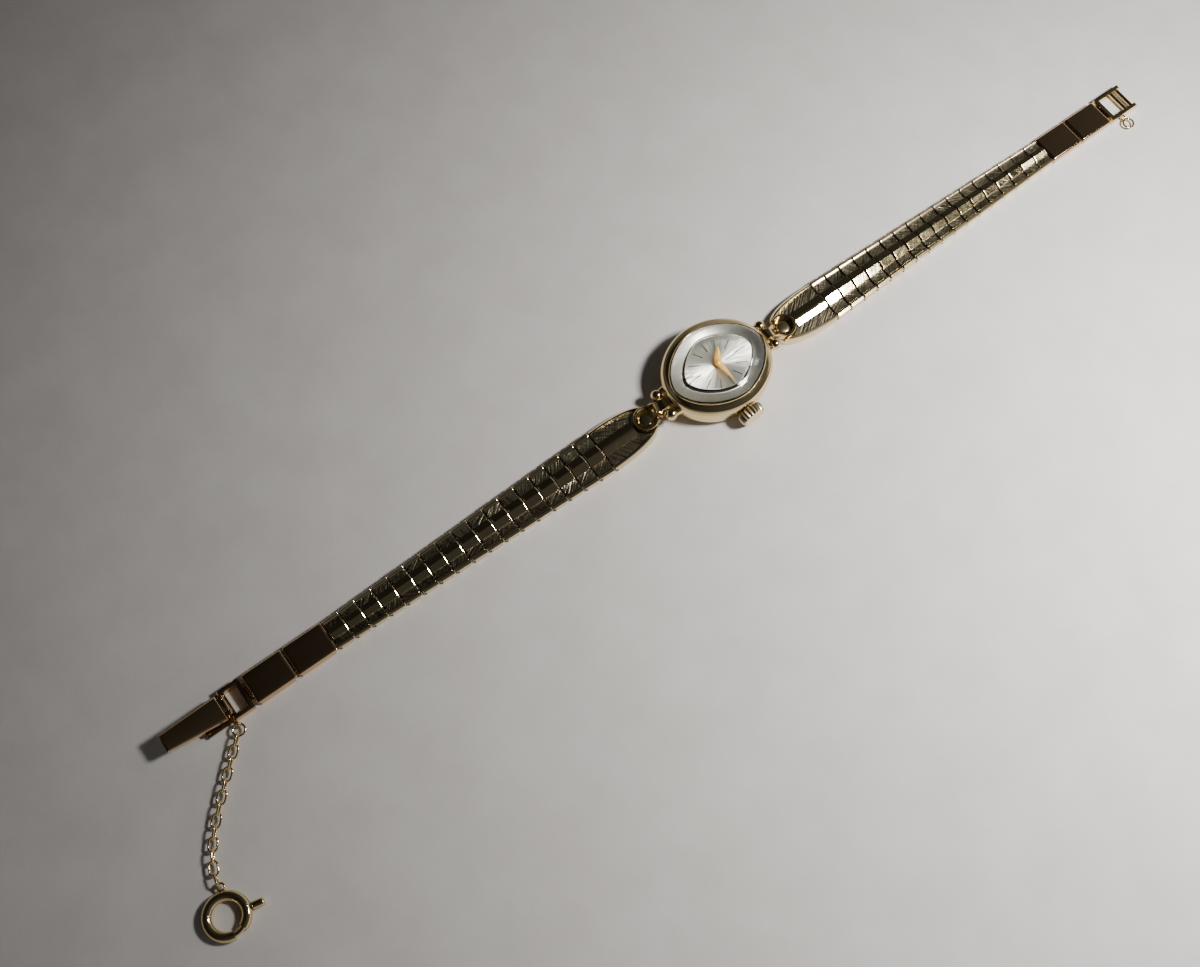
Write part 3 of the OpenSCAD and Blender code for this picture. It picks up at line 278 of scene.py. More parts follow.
def scratches_group():
    """Hairlines: noise stretched into strokes, kept only at its crests, in two directions."""
    tree, given, out = group("hairlines", {"Vector": ("Vector", None), "Density": ("Float", 1.0)},
                             {"Mask": "Float"})
    masks = []
    for angle in (0.5, -0.9):
        strokes = vector_maths(tree, "MULTIPLY", spun(tree, given["Vector"], angle),
                               (22.0, 0.8, 6.0))
        masks.append(minus(tree, noise(tree, strokes, detail=3.0, roughness=0.6), 0.6))
    crests = times(tree, maths(tree, "MAXIMUM", *masks), 6.0, clamp=True)
    plug(tree, out, Mask=times(tree, crests, given["Density"]))
    return tree


def tone_group():
    """Slow mottling from two sizes of noise, from 0 to 1."""
    tree, given, out = group("tone", {"Vector": ("Vector", None), "Scale": ("Float", 0.6)},
                             {"Fac": "Float"})
    big = noise(tree, given["Vector"], given["Scale"])
    fine = noise(tree, given["Vector"], times(tree, given["Scale"], 7.0), detail=4.0)
    plug(tree, out, Fac=plus(tree, times(tree, big, 0.65), times(tree, fine, 0.35)))
    return tree


HAIRLINES, TONE = scratches_group(), tone_group()
print("shared effects:", HAIRLINES.name, "and", TONE.name)

# %% [markdown]
# ### Hatching
# The panels of the links are cut with fine strokes. Real strokes as geometry would be a
# hundred to a link and too fine to render, so a height from stretched noise makes a bump, and
# the colour is darkened in its depths as painted shade.

# %% Hatching
FIRST_Y, PITCH = 20.05, 2.6     # where the first link starts, and the length of a link


def axes(tree, vector):
    """The X, Y and Z of a vector."""
    return node(tree, "ShaderNodeSeparateXYZ", Vector=vector).outputs


def flat(tree, x, y, z=0.0):
    """A vector from its X, Y and Z."""
    return node(tree, "ShaderNodeCombineXYZ", X=x, Y=y, Z=z).outputs[0]


def hatch_group():
    """Engraved hatching. Every link is cut by hand, so a white noise of the link's number and
    side picks the angle of its strokes, which set of strokes is the deeper, and its tone."""
    tree, given, out = group(
        "hatching", {"Vector": ("Vector", None), "Strokes": ("Float", 2.4)},
        {"Height": "Float", "Patch": "Float"})
    x, y, _ = axes(tree, given["Vector"])
    along = maths(tree, "DIVIDE", minus(tree, maths(tree, "ABSOLUTE", y), FIRST_Y), PITCH)
    number = maths(tree, "MAXIMUM", maths(tree, "FLOOR", along), -1.0)
    side = plus(tree, times(tree, maths(tree, "SIGN", x), 31.0),
                times(tree, maths(tree, "SIGN", y), 77.0))
    pick = node(tree, "ShaderNodeTexWhiteNoise", {"noise_dimensions": "1D"},
                W=plus(tree, number, side)).outputs["Color"]
    lean, deeper, patch = node(tree, "ShaderNodeSeparateColor", Color=pick).outputs
    thin = flat(tree, given["Strokes"], 0.35, 0.4)
    strokes = []
    for spread, offset in ((1.0, 0.35), (0.8, -1.15)):
        angle = plus(tree, times(tree, lean, spread), offset)
        line = vector_maths(tree, "MULTIPLY", spun(tree, given["Vector"], angle), thin)
        strokes.append(noise(tree, line, roughness=0.45))
    height = plus(tree, times(tree, strokes[0], deeper),
                  times(tree, strokes[1], minus(tree, 1.0, deeper)))
    grain = times(tree, noise(tree, given["Vector"], 5.0), 0.12)
    plug(tree, out, Height=plus(tree, height, grain), Patch=patch)
    return tree


HATCH = hatch_group()
print("third shared effect:", HATCH.name)

# %% [markdown]
# ### Starting a material
# Each material could be a copy of the last one with some numbers changed, but then a change
# to one would be lost in the others. So they all start clean: a Principled shader, which is
# one node for nearly any real surface, and the object's own coordinates in millimetres.
# Mixed colours and ramps come back in most of them, and get a helper each.

# %% Material helpers
def new_material(name):
    """Material with a Principled shader, and its object coordinates in millimetres."""
    material = bpy.data.materials.new(name)
    material.use_nodes = True
    tree = material.node_tree
    vector = vector_maths(tree, "SCALE", node(tree, "ShaderNodeTexCoord").outputs["Object"],
                          1 / MM)
    return material, tree, tree.nodes["Principled BSDF"], vector


def use(tree, shared, **inputs):
    """What a shared group puts out for these inputs."""
    return node(tree, "ShaderNodeGroup", {"node_tree": shared}, **inputs).outputs


def mix(tree, factor, a, b, blend="MIX"):
    """Colour a on its way to colour b, or a blended with b, by the factor."""
    return node(tree, "ShaderNodeMix", {"data_type": "RGBA", "blend_type": blend}, i0=factor,
                i6=a, i7=b).outputs[2]


def ramp(tree, factor, stops):
    """Colour ramp from (position, grey level or colour) stops."""
    n = node(tree, "ShaderNodeValToRGB", Fac=factor)
    elements = n.color_ramp.elements
    while len(elements) < len(stops):
        elements.new(0.5)
    for e, (position, value) in zip(elements, stops):
        e.position = position
        e.color = (value, value, value, 1) if np.isscalar(value) else (*value, 1)
    return n.outputs["Color"]


print("groups that materials share:", TONE.name, HAIRLINES.name, HATCH.name)

# %% [markdown]
# ### One function for every metal
# Polished gold, satin gold, brass and steel differ only in colour, in roughness and in how
# much of each effect they show. A dozen trees of nodes built by hand would drift apart, so
# one function builds them all, and leaves out the hatching and the painted shade of flute
# valleys where they aren't asked for.

# %% Metal
def metal(name, dark, light, roughness, scratch=0.5, bump=0.02, hatch=None, valley_shade=None,
          metallic=1.0):
    """Metal: tone drifts from dark to light, hairlines roughen it, and hatching, where
    asked for, is cut into it. valley_shade is (flutes, height, end): the valleys of so many
    flutes round an axis along X at that height get painted shade and roughness, short of the end."""
    material, tree, shader, vector = new_material(name)
    tone = use(tree, TONE, Vector=vector)["Fac"]
    lines = use(tree, HAIRLINES, Vector=vector, Density=scratch)["Mask"]
    colour = mix(tree, tone, (*dark, 1), (*light, 1))
    rough = plus(tree, roughness, times(tree, lines, 0.14))
    rough = plus(tree, rough, times(tree, minus(tree, tone, 0.5), 0.1))
    height, strength = lines, 0.25
    if hatch:
        cut = use(tree, HATCH, Vector=vector, Strokes=hatch)
        height, strength = cut["Height"], 0.9
        # Painted shade: the strokes' depths darken the colour.
        depth = ramp(tree, height, [(0.38, 0.35), (0.62, 1.0)])
        patch = ramp(tree, cut["Patch"], [(0.6, 0.62), (1, 1.0)])
        shade = mix(tree, 1.0, patch, depth, "MULTIPLY")
        colour = mix(tree, 1.0, colour, shade, "MULTIPLY")
    # Painted shade: the crown's flute valleys are painted near black and made rougher.
    if valley_shade:
        flutes, axis_z, end = valley_shade
        x, y, z = axes(tree, vector)
        angle = maths(tree, "ARCTAN2", minus(tree, z, axis_z), y)
        crest = maths(tree, "MULTIPLY_ADD", maths(tree, "COSINE", times(tree, angle, flutes)),
                      2.5, 0.6, clamp=True)
        unshaded = maths(tree, "MAXIMUM", crest, maths(tree, "GREATER_THAN", x, end))
        colour = mix(tree, unshaded, (0.05, 0.035, 0.02, 1), colour)
        rough = plus(tree, rough, times(tree, minus(tree, 1.0, unshaded), 0.4))
    surface = node(tree, "ShaderNodeBump", Height=height, Strength=strength, Distance=bump * MM)
    plug(tree, shader, Base_Color=colour, Metallic=metallic, Roughness=rough,
         Normal=surface.outputs["Normal"])
    return material


GOLD = metal("polished_gold", (0.78, 0.60, 0.30), (0.88, 0.71, 0.40), 0.07)
print("polished gold takes", len(GOLD.node_tree.nodes), "nodes")

# %% [markdown]
# ### Metals
# The photo's gold is a pale, slightly green 14-carat colour. Mirror-bright parts show the
# dark room and the pale table, so the difference between parts is mostly roughness. The
# plain links and the clasp look redder, as worn plating does.

# %% Metals
STEM_Z, CROWN_X = 2.1, 7.35     # the winding stem's height, and where the crown starts
FLUTES = 20     # round the crown, and their valleys are painted dark as shade
EDGE = metal("bevel_gold", (0.84, 0.68, 0.38), (0.93, 0.79, 0.50), 0.19, scratch=0.3)
# Painted shade: a darker copy of the bevel gold for the 6 o'clock half's bevels; EDGE is the lit
# copy.
SHADED_EDGE = metal("shaded_sharp_bevel_gold", (0.70, 0.57, 0.33), (0.80, 0.68, 0.43), 0.06,
                  scratch=0.3)
PANEL = metal("hatched_gold", (0.44, 0.38, 0.25), (0.62, 0.54, 0.36), 0.28, bump=0.13,
              hatch=4.4)
FLANK = metal("ridge_gold", (0.74, 0.60, 0.34), (0.84, 0.70, 0.42), 0.05, scratch=0.25)
# Painted highlight: the crown's gold is lighter than the case gold, so its crests shine brighter.
FLUTED = metal("fluted_gold", (0.90, 0.74, 0.44), (0.97, 0.84, 0.55), 0.30,
               valley_shade=(FLUTES, STEM_Z, CROWN_X + 1.43))
# Painted shade: a darker, rougher copy of the ridge gold, for 12 o'clock ridges that show no
# flash.
SHADED_SATIN = metal("shaded_satin_gold", (0.62, 0.51, 0.29), (0.74, 0.62, 0.37), 0.13, hatch=3.0)
PLAIN = metal("plain_gold", (0.68, 0.45, 0.25), (0.80, 0.58, 0.34), 0.08)
HAND = metal("gilt_hands", (0.60, 0.33, 0.07), (0.74, 0.43, 0.11), 0.42, scratch=0.2,
             metallic=0.6)
BRASS = metal("movement_brass", (0.74, 0.55, 0.26), (0.86, 0.68, 0.36), 0.22)
PLATE = metal("movement_plate", (0.66, 0.62, 0.54), (0.78, 0.74, 0.66), 0.26)
STEEL = metal("movement_steel", (0.52, 0.53, 0.55), (0.66, 0.67, 0.69), 0.16)
print("the other metals made")

# %% [markdown]
# ### Dial
# A sunray dial is brushed outward from its centre, so its highlight fans out in two
# opposite sectors. Real brushing lines are finer than a pixel. So a noise of the angle tilts
# the normal round the centre, one way or the other: the tilt, not a drawn fan, makes the
# bright sectors, and they follow the light. The printed lines stand 0.03 mm proud in the
# CAD, so height picks them out for the ink.

# %% Dial
CAVITY_W, CAVITY_L, CAVITY_POWER = 4.35, 5.70, 1.6
INK_Z = 4.165     # between the dial's own face and the tops of its printed lines


def dial_material():
    """Silver sunray with dark ink. `share` is the distance from the centre as a share of the
    crystal's cavity in that direction: the lines run from 0.52 to 0.86 of it, and beyond 1
    the dial looks dished, with normals that lean inward."""
    material, tree, shader, vector = new_material("sunray_dial")
    x, y, z = axes(tree, vector)
    angle = maths(tree, "ARCTAN2", y, x)
    radius = maths(tree, "SQRT", plus(tree, times(tree, x, x), times(tree, y, y)))
    rays = noise(tree, flat(tree, times(tree, angle, 90.0), times(tree, radius, 0.25)),
                 detail=3.0, dimensions="2D")
    side = maths(tree, "MULTIPLY_ADD", rays, 7.0, -3.0, clamp=True)
    tilt = times(tree, minus(tree, side, 0.5), 0.74)
    share = maths(tree, "POWER", plus(tree, *[
        maths(tree, "POWER", maths(tree, "DIVIDE", maths(tree, "ABSOLUTE", v), reach),
              CAVITY_POWER)
        for v, reach in ((x, CAVITY_W), (y, CAVITY_L))]), 1 / CAVITY_POWER)
    margin = maths(tree, "GREATER_THAN", share, 1.0)
    around = vector_maths(tree, "NORMALIZE", flat(tree, times(tree, y, -1.0), x))
    outward = vector_maths(tree, "NORMALIZE", flat(tree, x, y))
    swing = vector_maths(
        tree, "ADD",
        vector_maths(tree, "SCALE", around, times(tree, tilt, minus(tree, 1.0, margin))),
        vector_maths(tree, "SCALE", outward, times(tree, margin, -0.42)))
    swing = node(tree, "ShaderNodeVectorTransform",
                 {"vector_type": "VECTOR", "convert_from": "OBJECT", "convert_to": "WORLD"},
                 Vector=swing).outputs[0]
    facing = node(tree, "ShaderNodeNewGeometry").outputs["Normal"]
    leaning = vector_maths(tree, "ADD", facing, (0.0, 0.09, 0.0))
    normal = vector_maths(tree, "NORMALIZE", vector_maths(tree, "ADD", leaning, swing))
    off_ray = times(tree, radius, maths(tree, "DIVIDE", maths(
        tree, "ABSOLUTE", maths(tree, "SINE", times(tree, angle, 6.0))), 6.0))
    printed = maths(tree, "LESS_THAN", off_ray, 0.07)
    printed = times(tree, printed, maths(tree, "GREATER_THAN", share, 0.52))
    printed = times(tree, printed, maths(tree, "LESS_THAN", share, 0.86))
    ink = maths(tree, "MAXIMUM", printed, maths(tree, "GREATER_THAN", z, INK_Z))
    lustre = ramp(tree, rays, [(0.3, (0.62, 0.60, 0.53)), (0.7, (0.79, 0.77, 0.69))])
    plug(tree, shader, Base_Color=mix(tree, ink, lustre, (0.03, 0.028, 0.025, 1)),
         Metallic=minus(tree, 1.0, ink), Roughness=plus(tree, 0.28, times(tree, ink, 0.25)),
         Normal=normal)
    return material


DIAL = dial_material()
print("the dial takes", len(DIAL.node_tree.nodes), "nodes")

# %% [markdown]
# ### Crystal
# The crystal is moulded acrylic. Real glass shading would keep the lamp off the dial under
# it, because the renderer doesn't bend a lamp's light through a lens, so rays on their way
# to a lamp pass straight through.

# %% Crystal, and a finish for every CAD node
def glass_material():
    """Clear crystal: faint waviness, and hairlines that catch the light. A mix by Is Shadow
    Ray lets the light through."""
    material, tree, shader, vector = new_material("crystal")
    wave = use(tree, TONE, Vector=vector, Scale=0.35)["Fac"]
    lines = times(tree, use(tree, HAIRLINES, Vector=vector, Density=0.5)["Mask"], 0.1)
    bump = node(tree, "ShaderNodeBump", Height=plus(tree, wave, lines), Strength=0.12,
                Distance=0.05 * MM)
    plug(tree, shader, Base_Color=(0.97, 0.985, 0.98, 1), Metallic=0.0, Roughness=lines,
         Transmission_Weight=1.0, IOR=1.49, Normal=bump.outputs["Normal"])
    clear = node(tree, "ShaderNodeBsdfTransparent", Color=(0.95, 0.96, 0.96, 1))
    shadow = node(tree, "ShaderNodeLightPath").outputs["Is Shadow Ray"]
    mixed = node(tree, "ShaderNodeMixShader", i0=shadow, i1=shader.outputs[0],
                 i2=clear.outputs[0])
    plug(tree, tree.nodes["Material Output"], Surface=mixed.outputs[0])
    return material


GLASS = glass_material()
BY_SLOT = {"polished_gold": GOLD, "textured_gold": PANEL, "plated_brass": PLATE,
           "wheel_brass": BRASS, "steel": STEEL, "hand_gilt": HAND, "silvered_dial": DIAL,
           "crystal_glass": GLASS}
SLOT_OF = {m["node"]: m["material_slot"] for m in frame["record"]["subparts"]}
for name, cad_node in nodes.items():
    cad_node.data.materials.clear()
    cad_node.data.materials.append(BY_SLOT[SLOT_OF[name]])
print("CAD nodes with a procedural material:", len(nodes))

# %% [markdown]
# ## The case
# The case middle, bezel and crystal are lofts of superellipses. A subdivided box would be as
# smooth, but wouldn't keep to the CAD's outline. The CAD has the same rings with 64 flat
# sides; here they get 192 points and rounded profiles, because polish shows every facet. The
# lugs are turned, as a watchmaker would turn them.

# %% Rings and profiles
def oval(a, b, z, power, count=192):
    """Ring of a superellipse: |x/a| to the power plus |y/b| to the power is 1."""
    t = np.linspace(0, 2 * np.pi, count, endpoint=False)
    c, s = np.cos(t), np.sin(t)
    x = a * np.sign(c) * np.abs(c) ** (2 / power)
    y = b * np.sign(s) * np.abs(s) ** (2 / power)
    return np.stack([x, y, np.full(count, z)], 1)


def ovals(profile, count=192):
    """Rings from a list of (half width, half length, height, power)."""
    return [oval(*row, count=count) for row in profile]


def smooth_profile(knots, steps):
    """Curve through the knots, with `steps` points a span. Each span is a cubic, whose slope
    at a knot is half the way from the knot before it to the knot after it."""
    k = np.asarray(knots, float)
    k = np.vstack([2 * k[0] - k[1], k, 2 * k[-1] - k[-2]])
    t = np.linspace(0, 1, steps, endpoint=False)[:, None]
    spans = [0.5 * ((2 * k[i]) + (k[i + 1] - k[i - 1]) * t
                    + (2 * k[i - 1] - 5 * k[i] + 4 * k[i + 1] - k[i + 2]) * t ** 2
                    + (3 * k[i] - k[i - 1] - 3 * k[i + 1] + k[i + 2]) * t ** 3)
             for i in range(1, len(k) - 2)]
    return np.vstack(spans + [k[-2:-1]])


print("an oval has", len(oval(1, 1, 0, 2)), "points")

# %% Turned parts
def lathe(profile, sides=40):
    """Rings of a turned part about Z, from (radius, height) pairs."""
    t = np.linspace(0, 2 * np.pi, sides, endpoint=False)
    p = np.asarray(profile, float)
    return np.stack([p[:, :1] * np.cos(t), p[:, :1] * np.sin(t),
                     np.repeat(p[:, 1:2], sides, 1)], 2)


def rod_x(radius, length, y, z, sides=28, chamfer=0.05):
    """Round bar along X, from -length / 2 to length / 2, with chamfered ends."""
    h, c = length / 2, chamfer
    rings = lathe([(radius - c, -h), (radius, -h + c), (radius, h - c), (radius - c, h)], sides)
    return skin(rings[:, :, [2, 0, 1]] + np.array([0, y, z]))


print("a round bar has", len(rod_x(1, 2, 0, 0)[1]), "faces")

# %% Case middle
CASE_W, CASE_L, CASE_POWER = 7.2, 8.4, 1.94
SEAT_W, SEAT_L = 6.1, 7.3
LUG_Y, LUG_Z, NUB_R, LUG_BAR_R, RIBBON_W = 9.25, 2.6, 0.85, 0.35, 1.6


def case_middle():
    """Wall that swells outward to its waist, closed through the movement's seat inside. Its
    rings are `inset` smaller than the full size at height z. Turned lugs hold the bars."""
    outer = smooth_profile([(CASE_W - inset, CASE_L - inset, z, CASE_POWER) for inset, z in
                            [(0.35, 0.80), (0.1, 1.25), (0.01, 2.05), (0.01, 3.2), (0.02, 3.5),
                             (0.1, 3.65)]], 6)
    inner = np.array([(SEAT_W, SEAT_L, 3.65, 2), (SEAT_W, SEAT_L, 2.7, 2), (5.7, 6.9, 2.7, 2),
                      (5.7, 6.9, 0.8, 2)])
    parts = [(*skin(ovals(np.vstack([outer, inner])), loop=True), 0)]
    nub = [(NUB_R * math.sin(a), -NUB_R * math.cos(a))
           for a in np.linspace(0.08, math.pi - 0.08, 20)]
    neck = [(0.74, 0), (0.70, 0.5), (0.62, 1.0), (0.60, 1.5)]
    for sy in (-1, 1):
        for sx in (-1, 1):
            x = sx * (RIBBON_W / 2 + 0.1 + NUB_R)
            points, faces = skin(lathe(nub, 32))
            parts.append((points + [x, sy * LUG_Y, LUG_Z], faces, 0))
            points, faces = skin(lathe(neck, 28)[:, :, [0, 2, 1]])
            points = points * [1, sy, 1] + [x, sy * (LUG_Y - 1.6), LUG_Z]
            parts.append((points, faces, 0))
        parts.append((*rod_x(LUG_BAR_R, RIBBON_W + 1.1, sy * LUG_Y, LUG_Z), 0))
    return make("case_body", parts, "case", [GOLD], ["case_middle"])


print(case_middle().name, "made")

# %% [markdown]
# ## Bezel
# The bezel snaps over the case middle and grips the crystal. One round bevel would give it
# one highlight, but the photo shows two surfaces that mirror different things, so its profile
# is drawn in full: a steep lip, a gentle shoulder and a small upright rim.

# %% Bezel
def bezel():
    """Steep lip, a shoulder that slopes gently up, and the upright rim that grips the crystal.
    The lip mirrors the paper and looks pale; the shoulder mirrors the dark room."""
    foot = [(7.14, 8.34, 3.70, 1.94), (7.14, 8.34, 3.79, 1.94)]
    lip = smooth_profile([(7.13, 8.33, 3.82, 1.94), (7.06, 8.27, 3.94, 1.94),
                          (6.95, 8.18, 4.09, 1.935), (6.86, 8.10, 4.20, 1.93)], 4)
    shoulder = smooth_profile([(6.82, 8.07, 4.22, 1.93), (6.74, 8.01, 4.27, 1.92),
                               (6.55, 7.91, 4.39, 1.90), (6.35, 7.80, 4.51, 1.86),
                               (6.18, 7.71, 4.605, 1.82), (6.06, 7.65, 4.665, 1.80)], 5)
    rim = [(6.03, 7.64, 4.68, 1.79), (6.00, 7.63, 4.72, 1.79), (5.98, 7.62, 4.76, 1.785),
           (5.94, 7.59, 4.795, 1.78), (5.88, 7.53, 4.80, 1.77), (5.83, 7.49, 4.78, 1.765),
           (5.80, 7.45, 4.70, 1.76), (5.80, 7.45, 4.20, 1.76), (SEAT_W, SEAT_L, 4.20, 2),
           (SEAT_W, SEAT_L, 3.70, 2)]
    rings = ovals(np.vstack([foot, lip, shoulder, rim]))
    return make("bezel_ring", [(*skin(rings, loop=True), 0)], "case", [GOLD],
                ["bezel"], sharp=30)


print(bezel().name, "made")

# %% [markdown]
# ## Crystal
# The crystal is one solid of clear plastic. A thin dome would look empty. What frames the
# dial in the photo is the inner wall of a thick crystal, so both the outside and the cavity
# are modelled.

# %% Crystal
def crystal():
    """Thick lens: a cavity whose pointed oval frames the dial, an upright wall with a wide
    facet over it, and a dome."""
    roof = [(0.6, 0.8, 5.25, 1.8), (2.4, 3.2, 5.23, 1.7), (3.9, 5.1, 5.12, CAVITY_POWER),
            (4.10, 5.36, 5.05, CAVITY_POWER)]
    wall = [(4.18, 5.46, 4.92, CAVITY_POWER), (4.31, 5.64, 4.42, CAVITY_POWER),
            (CAVITY_W, CAVITY_L, 4.25, CAVITY_POWER), (CAVITY_W, CAVITY_L, 4.205, CAVITY_POWER)]
    facet = [(5.75, 7.40, 4.205, 1.76), (5.75, 7.40, 4.86, 1.76), (5.72, 7.37, 4.95, 1.76),
             (5.64, 7.28, 5.03, 1.76), (5.14, 6.70, 5.46, 1.74), (5.08, 6.62, 5.50, 1.74)]
    dome = smooth_profile([(4.95, 6.42, 5.56, 1.72), (4.40, 5.72, 5.76, 1.72),
                           (3.56, 4.59, 5.93, 1.75), (2.50, 3.20, 6.03, 1.8),
                           (1.40, 1.85, 6.08, 1.85), (0.55, 0.7, 6.10, 1.9)], 4)
    rings = ovals(np.vstack([roof, wall, facet, dome]))
    points, faces = skin(rings, poles=((0, 0, 5.25), (0, 0, 6.10)))
    return make("crystal_lens", [(points, faces, 0)], "case", [GLASS],
                ["crystal"], sharp=18)


print(crystal().name, "made")

# %% [markdown]
# ## Crown
# The crown is a drum whose rim is cut into flutes for the fingertips. Each of its rings is a
# circle whose radius dips 20 times round, most deeply in the middle of the rim, so that the
# flutes run out before the rounded edges. Cutting them with a Boolean would leave sharp
# ends. The source has 28 flutes, but 20 give the pitch that the photo shows.

# %% Crown
def crown():
    """Rings about X. The radius is the profile's, less the flute depth times
    (0.5 - 0.5 cos(20 angle)) to the power 0.6, where the profile carries flutes."""
    depth = 0.15
    profile = [(0.9, 0.0, 0), (1.55, 0.0, 0), (1.76, 0.05, 0.6), (1.86, 0.16, 1), (1.9, 0.45, 1),
               (1.9, 0.75, 1), (1.87, 0.98, 1), (1.82, 1.22, 1), (1.75, 1.36, 0.7),
               (1.64, 1.45, 0), (1.3, 1.49, 0), (0.6, 1.5, 0), (0.05, 1.5, 0)]
    a = np.linspace(0, 2 * np.pi, FLUTES * 8, endpoint=False)
    dip = depth * (0.5 - 0.5 * np.cos(FLUTES * a)) ** 0.6
    rings = [np.stack([np.full(len(a), CROWN_X + x), (r - k * dip) * np.cos(a),
                       STEM_Z + (r - k * dip) * np.sin(a)], 1) for r, x, k in profile]
    return make("crown_drum", [(*skin(rings), 0)], "stem", [FLUTED], ["crown"],
                sharp=45)


print(crown().name, "made, with", FLUTES, "flutes")

# %% [markdown]
# ## Hands
# Each hand is a leaf stamped from sheet: widest at the hub, drawn in to a thin tip. An
# outline filled with one face would do for the shape, but a flat plate looks like paper. So
# each row across the hand is a shallow arch, which catches one long highlight.

# %% Hands
HOUR_Z, MINUTE_Z = 4.45, 4.73


def turned(points, degrees, about=(0, 0)):
    """Points turned about the Z axis through `about`."""
    a = math.radians(degrees)
    q = points - np.array([about[0], about[1], 0])
    x = q[:, 0] * math.cos(a) - q[:, 1] * math.sin(a)
    y = q[:, 0] * math.sin(a) + q[:, 1] * math.cos(a)
    return np.stack([x + about[0], y + about[1], q[:, 2]], 1)


def hand(name, length, hub, shape, z, angle, bore, body, node_name):
    """Rows across the hand: the half width follows `shape`, pairs of a share of the length
    and a half width, and round the hub it is that of a circle. The top is a shallow arch. It
    points to 12 and is then turned clockwise by `angle`. A turned boss stands on the hub."""
    y = np.concatenate([-hub * np.cos(np.linspace(0.05, np.pi / 2, 12)),
                        np.linspace(0.03, 1, 30) * length])
    w = np.where(y < 0, np.sqrt(np.maximum(hub ** 2 - y ** 2, 1e-4)),
                 np.interp(y / length, [s[0] for s in shape], [s[1] for s in shape]))
    across = np.linspace(-1, 1, 11)
    yy = np.repeat(y[:, None], len(across), 1)
    arched = z + 0.05 + 0.05 * (1 - across ** 2)
    top = np.stack([w[:, None] * across, yy, arched + 0 * yy], 2)
    under = np.stack([w[:, None] * across[::-1], yy, np.full(yy.shape, z)], 2)
    points, faces = skin(np.concatenate([top, under], 1))
    boss = lathe([(bore + 0.16, z), (bore + 0.16, z + 0.1), (bore + 0.1, z + 0.15),
                  (bore * 0.4, z + 0.15)], 32)
    return make(name, [(turned(points, -angle), faces, 0), (*skin(boss), 0)], body,
                [HAND], [node_name])


hand("hour_leaf", length=2.5, hub=0.58,
     shape=[(0, 0.58), (0.3, 0.50), (0.7, 0.30), (0.94, 0.16), (1, 0.04)],
     z=HOUR_Z, angle=307, bore=0.3, body="hour_drive", node_name="hour_hand")
hand("minute_leaf", length=3.7, hub=0.46,
     shape=[(0, 0.46), (0.25, 0.40), (0.7, 0.16), (1, 0.04)],
     z=MINUTE_Z, angle=87, bore=0.18, body="minute_drive", node_name="minute_hand")
print("hands made")

# %% [markdown]
# ## Bracelet links
# Each link is one slab: rows run along the bracelet, and each row is a closed section with
# polished bevels, hatched panels and a polished ridge. An array of one link would be quick,
# but the band tapers, and real links never lie quite level, which is why neighbours flash
# differently. So each link is made on its own, and its top is tilted at random, by less than
# a degree as a rule.

# %% Sizes of a link
LINKS, GROUP_SIZE = 17, 3
W_HEAD, W_CLASP = 3.4, 2.15
LINK_T, RIDGE_H, GAP = 1.35, 0.45, 0.12
PIN_Z, BARREL_R, TONGUE, CHEEK = 0.52, 0.36, 0.8, 0.5
HINGE_ROOM = BARREL_R + 0.06
SHELL_Z = PIN_Z + HINGE_ROOM
HALVES = ((1, "12"), (-1, "6"))     # the sign of Y in each half of the bracelet, and its name


def half_w(k):
    """Half width at link boundary k: a straight taper from the head to the plain links."""
    return W_HEAD + (W_CLASP - W_HEAD) * k / LINKS


print("half width at the head and at the plain links:", half_w(0), half_w(LINKS))

# %% Slabs
def slab(y, w, bottom, top, across):
    """Closed sections along y. Each has the top's points at `across` times the half width,
    then a side, a small chamfer and a flat underside."""
    x = w[:, None] * across[None]
    yy = np.repeat(y[:, None], len(across), 1)
    upper = np.stack([x, yy, top(x, yy, w[:, None])], 2)

    def corner(share, inset, rise):
        """Column of points at one lower edge, `share` being its side."""
        return np.stack([share * (w - inset), y, bottom + rise], 1)[:, None]

    return np.concatenate([corner(-1, 0.12, 0), corner(-1, 0, 0.12), upper, corner(1, 0, 0.12),
                           corner(1, 0.12, 0)], 1)


def face_marks(rows, ring, marks):
    """Material index of each face of a skin: the same marks round every row of quads, and
    the first mark for both end caps."""
    return np.concatenate([np.tile(marks, rows - 1), np.full(2 * ring, marks[0])]).tolist()


print("a cube with a mark on each side:", face_marks(2, 4, [0, 1, 2, 3]))

# %% A link's section and its marks
# Half of a link's section, from the middle of its ridge to its edge: shares of the half
# width, and heights over the link's top. The hatched panel lies 0.13 mm low.
HALF_BAND = np.array([0, 0.015, 0.17, 0.335, 0.345, 0.375, 0.39, 0.56, 0.74, 0.765, 0.80,
                      0.84, 0.885, 0.992, 1])
HALF_Z = np.array([0, 0, 0.015, 0.03, 0.02, -0.12, -0.13, -0.13, -0.13, -0.12, -0.045,
                   0.015, 0.05, -0.12, -0.165])
BAND = np.concatenate([-HALF_BAND[:0:-1], HALF_BAND])
BAND_Z = np.concatenate([HALF_Z[:0:-1], HALF_Z])
RIDGE = np.clip(1 - (np.abs(BAND) - 0.015) / 0.33, 0, 1)

# A mark is the number of a face's material: 0 bevel, 1 hatched panel, 2 polished ridge and
# 3 satin ridge, darker as painted shade. A row has a face for every step of the section, and
# five more for its sides and its underside.
MIDDLES = np.abs((BAND[1:] + BAND[:-1]) / 2)
BAND_MARK = np.where((MIDDLES > 0.38) & (MIDDLES < 0.75), 1, np.where(MIDDLES < 0.335, 2, 0))
RING_MARK = np.concatenate([[0, 0], BAND_MARK, [0, 0, 0]])
CROWN_SIDE = np.arange(len(RING_MARK)) > len(HALF_BAND)
SHADED_SATIN_MARK = np.where((RING_MARK == 2) & CROWN_SIDE, 3, RING_MARK)
BRIGHT = (0, 13, 14)     # links of the 12 o'clock half whose ridge keeps the polished gold; the others get the shaded satin
print("marks round a link:", "".join(str(mark) for mark in RING_MARK))

